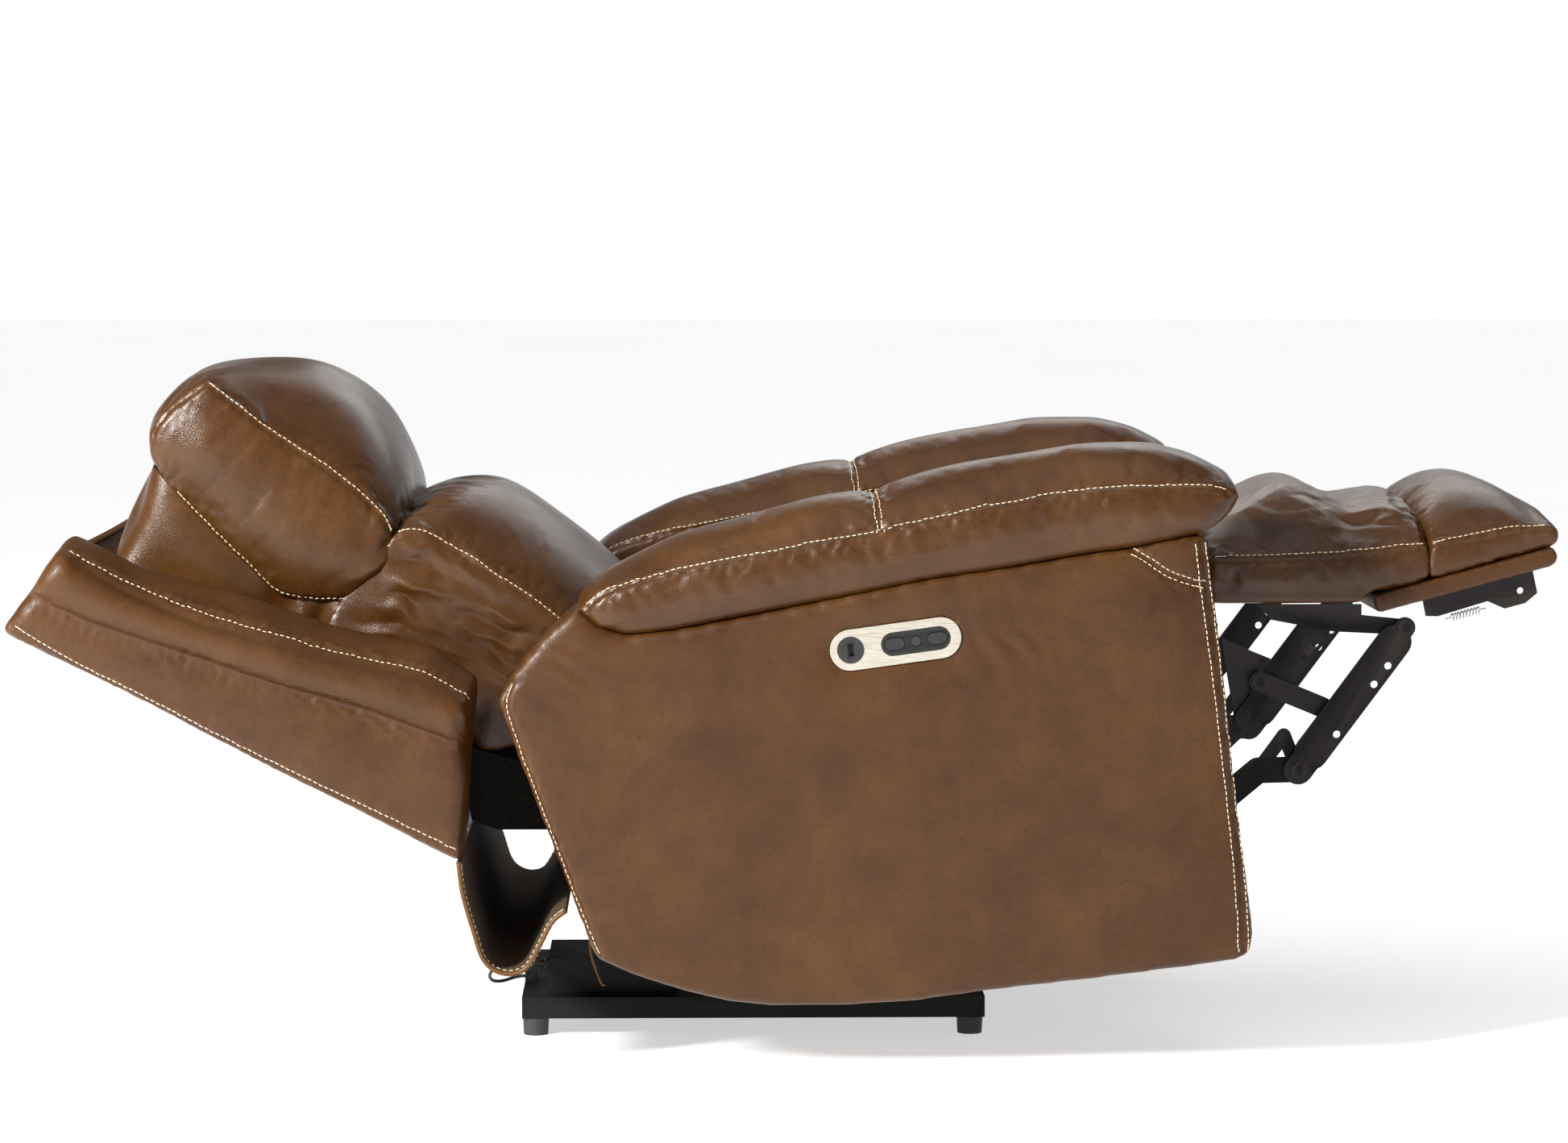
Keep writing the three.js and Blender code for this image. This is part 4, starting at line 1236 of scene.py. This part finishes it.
def make_end_cover():
    """Leather over the upper end of the back frame."""
    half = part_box("back_frame")[1].y / MM - 1
    line = [back_point(s, h) for s, h in (
        (538, 100), (547, 98), (550, 90), (551, 55), (550, 15))]
    piece = ribbon("back_end_cover", line, -half, half, 2.6, 90,
                   lambda t, y: 0.0015 * np.sin(t * 9 + 8 * y) * np.sin(t * math.pi))
    piece.data.materials.append(BACK_LINING)
    return settle(piece, "back", "panel_leather")


def make_side_liner(side):
    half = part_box("back_frame")[1].y / MM - 1
    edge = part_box("lumbar_cushion")[1].y / MM + 3
    line = [back_point(s, LINER_HEIGHT + rise) for s, rise in (
        (66, 1), (110, 9), (170, 12), (225, 8), (240, 2))]
    ends = sorted((side * edge, side * half))
    piece = ribbon(f"back_liner_{'left' if side > 0 else 'right'}", line, *ends, 2.6, 30,
                   lambda t, y: 0.002 * np.sin(t * 14 + 30 * y) * np.sin(t * math.pi))
    return settle(piece, "back", "panel_leather")


make_liner()
make_end_cover()
for liner_side in (-1, 1):
    make_side_liner(liner_side)
make_boot()


# ---- Hardware -----------------------------------------------------------------------------------

SPRING_TURNS = 9
SPRING_RADIUS = 0.0040
WIRE_RADIUS = 0.0008


def make_spring():
    low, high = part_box("flipper_spring")
    centre = (low + high) / 2
    half = (high.x - low.x) / 2
    slope = math.tan(math.radians(15))
    turn = np.linspace(0, 2 * math.pi * SPRING_TURNS, SPRING_TURNS * 16)
    along = np.linspace(-0.72, 0.72, len(turn)) * half
    line = np.column_stack([
        centre.x + along,
        centre.y + SPRING_RADIUS * np.cos(turn),
        centre.z + along * slope + SPRING_RADIUS * np.sin(turn)])
    ends = [np.array([[centre.x + side * half * 0.98, centre.y, centre.z + side * half * 0.98 * slope]])
            for side in (-1, 1)]
    line = np.vstack([ends[0], line, ends[1]])
    return tube("flipper_spring_coil", line, WIRE_RADIUS, 7)


spring = make_spring()
spring.data.materials.append(MATERIALS["bright_steel"])
settle(spring, "flipper", "bright_steel", ["flipper_spring"])


def make_tab():
    """Leather pull tab under the right arm."""
    line = [(-226, 158), (-233, 142), (-234, 126), (-232, 112), (-226, 94), (-220, 80), (-216, 79)]
    piece = ribbon("pull_tab", line, -306, -292, 2.2, 6)
    return settle(piece, "seat", "panel_leather")


make_tab()


# ---- Finishes of the CAD nodes ------------------------------------------------------------------

slot_of = {part["node"]: part["material_slot"] for part in frame["record"]["subparts"]}
# The base rails, pan and power box take the base steel with painted shade; the seat deck takes black
# cloth.
own_finish = dict.fromkeys(("base_rail_right", "base_rail_left", "base_pan", "power_box"), BASE_STEEL_WITH_PAINTED_SHADE)
own_finish["seat_deck"] = MATERIALS["black_cloth"]
for node_name, node in NODES.items():
    node.data.materials.clear()
    node.data.materials.append(own_finish.get(node_name, MATERIALS[slot_of[node_name]]))
    shade_smooth(node.data)
    edge = node.modifiers.new("eased_edges", "BEVEL")
    edge.width = 0.0007
    edge.segments = 2
    edge.limit_method = "ANGLE"
    edge.angle_limit = math.radians(32)
    edge.harden_normals = True
lead.data.materials.append(MATERIALS["lead"])
shade_smooth(lead.data)


# ---- Floor and light ----------------------------------------------------------------------------

def make_floor():
    reach = 40.0
    count = 9
    line = np.linspace(-reach, reach, count)
    points = [(x, y, -0.0004) for x in line for y in line]
    faces = [(i * count + j, (i + 1) * count + j, (i + 1) * count + j + 1, i * count + j + 1)
             for i in range(count - 1) for j in range(count - 1)]
    floor = new_object("floor", points, faces)
    s = Shader("pale_floor")
    clouds = s.noise(0.6, 3)
    color = s.ramp(clouds, [(0.3, (0.86, 0.86, 0.86)), (0.7, (0.90, 0.90, 0.90))])
    floor.data.materials.append(s.finish(color, s.span(clouds, 0.80, 0.95), Specular_IOR_Level=0.1,
                                         Emission_Color=(1, 1, 1, 1), Emission_Strength=0.56))


def softbox(name, place, target, size, power):
    data = bpy.data.lights.new(name, "AREA")
    data.shape = "RECTANGLE"
    data.size, data.size_y = size
    data.energy = power
    data.color = (1.0, 0.985, 0.96)
    made = bpy.data.objects.new(name, data)
    made.location = place
    made.rotation_euler = (Vector(target) - Vector(place)).to_track_quat("-Z", "Y").to_euler()
    SCENE.collection.objects.link(made)


def make_sky():
    """White at the horizon, dimmer overhead."""
    world = bpy.data.worlds.new("studio")
    SCENE.world = world
    world.use_nodes = True
    tree = world.node_tree
    background = tree.nodes["Background"]
    place = tree.nodes.new("ShaderNodeTexCoord")
    parts = tree.nodes.new("ShaderNodeSeparateXYZ")
    tree.links.new(place.outputs["Generated"], parts.inputs["Vector"])
    fade = tree.nodes.new("ShaderNodeMapRange")
    for key, number in (("From Min", 0.05), ("From Max", 0.20), ("To Min", 1.0), ("To Max", 0.20)):
        fade.inputs[key].default_value = number
    tree.links.new(parts.outputs["Z"], fade.inputs["Value"])
    tree.links.new(fade.outputs["Result"], background.inputs["Strength"])
    background.inputs["Color"].default_value = (1, 1, 1, 1)


def make_overhead(strength, spread):
    """Even light from above, as wide as a studio ceiling of white cloth."""
    data = bpy.data.lights.new("overhead", "SUN")
    data.energy = strength
    data.angle = math.radians(spread)
    made = bpy.data.objects.new("overhead", data)
    made.rotation_euler = (math.radians(14), math.radians(-8), 0)
    SCENE.collection.objects.link(made)


make_floor()
make_sky()
make_overhead(0.75, 70)
softbox("key", (-3.0, -2.9, 2.4), (-0.3, 0, 0.45), (0.55, 1.0), 400)
softbox("front_fill", (2.4, -4.2, 1.5), (0.2, 0, 0.3), (1.0, 1.6), 5)
softbox("rear", (0.8, 3.4, 2.4), (-0.2, 0, 0.5), (2.4, 1.0), 20)
SCENE.view_settings.view_transform = "Standard"
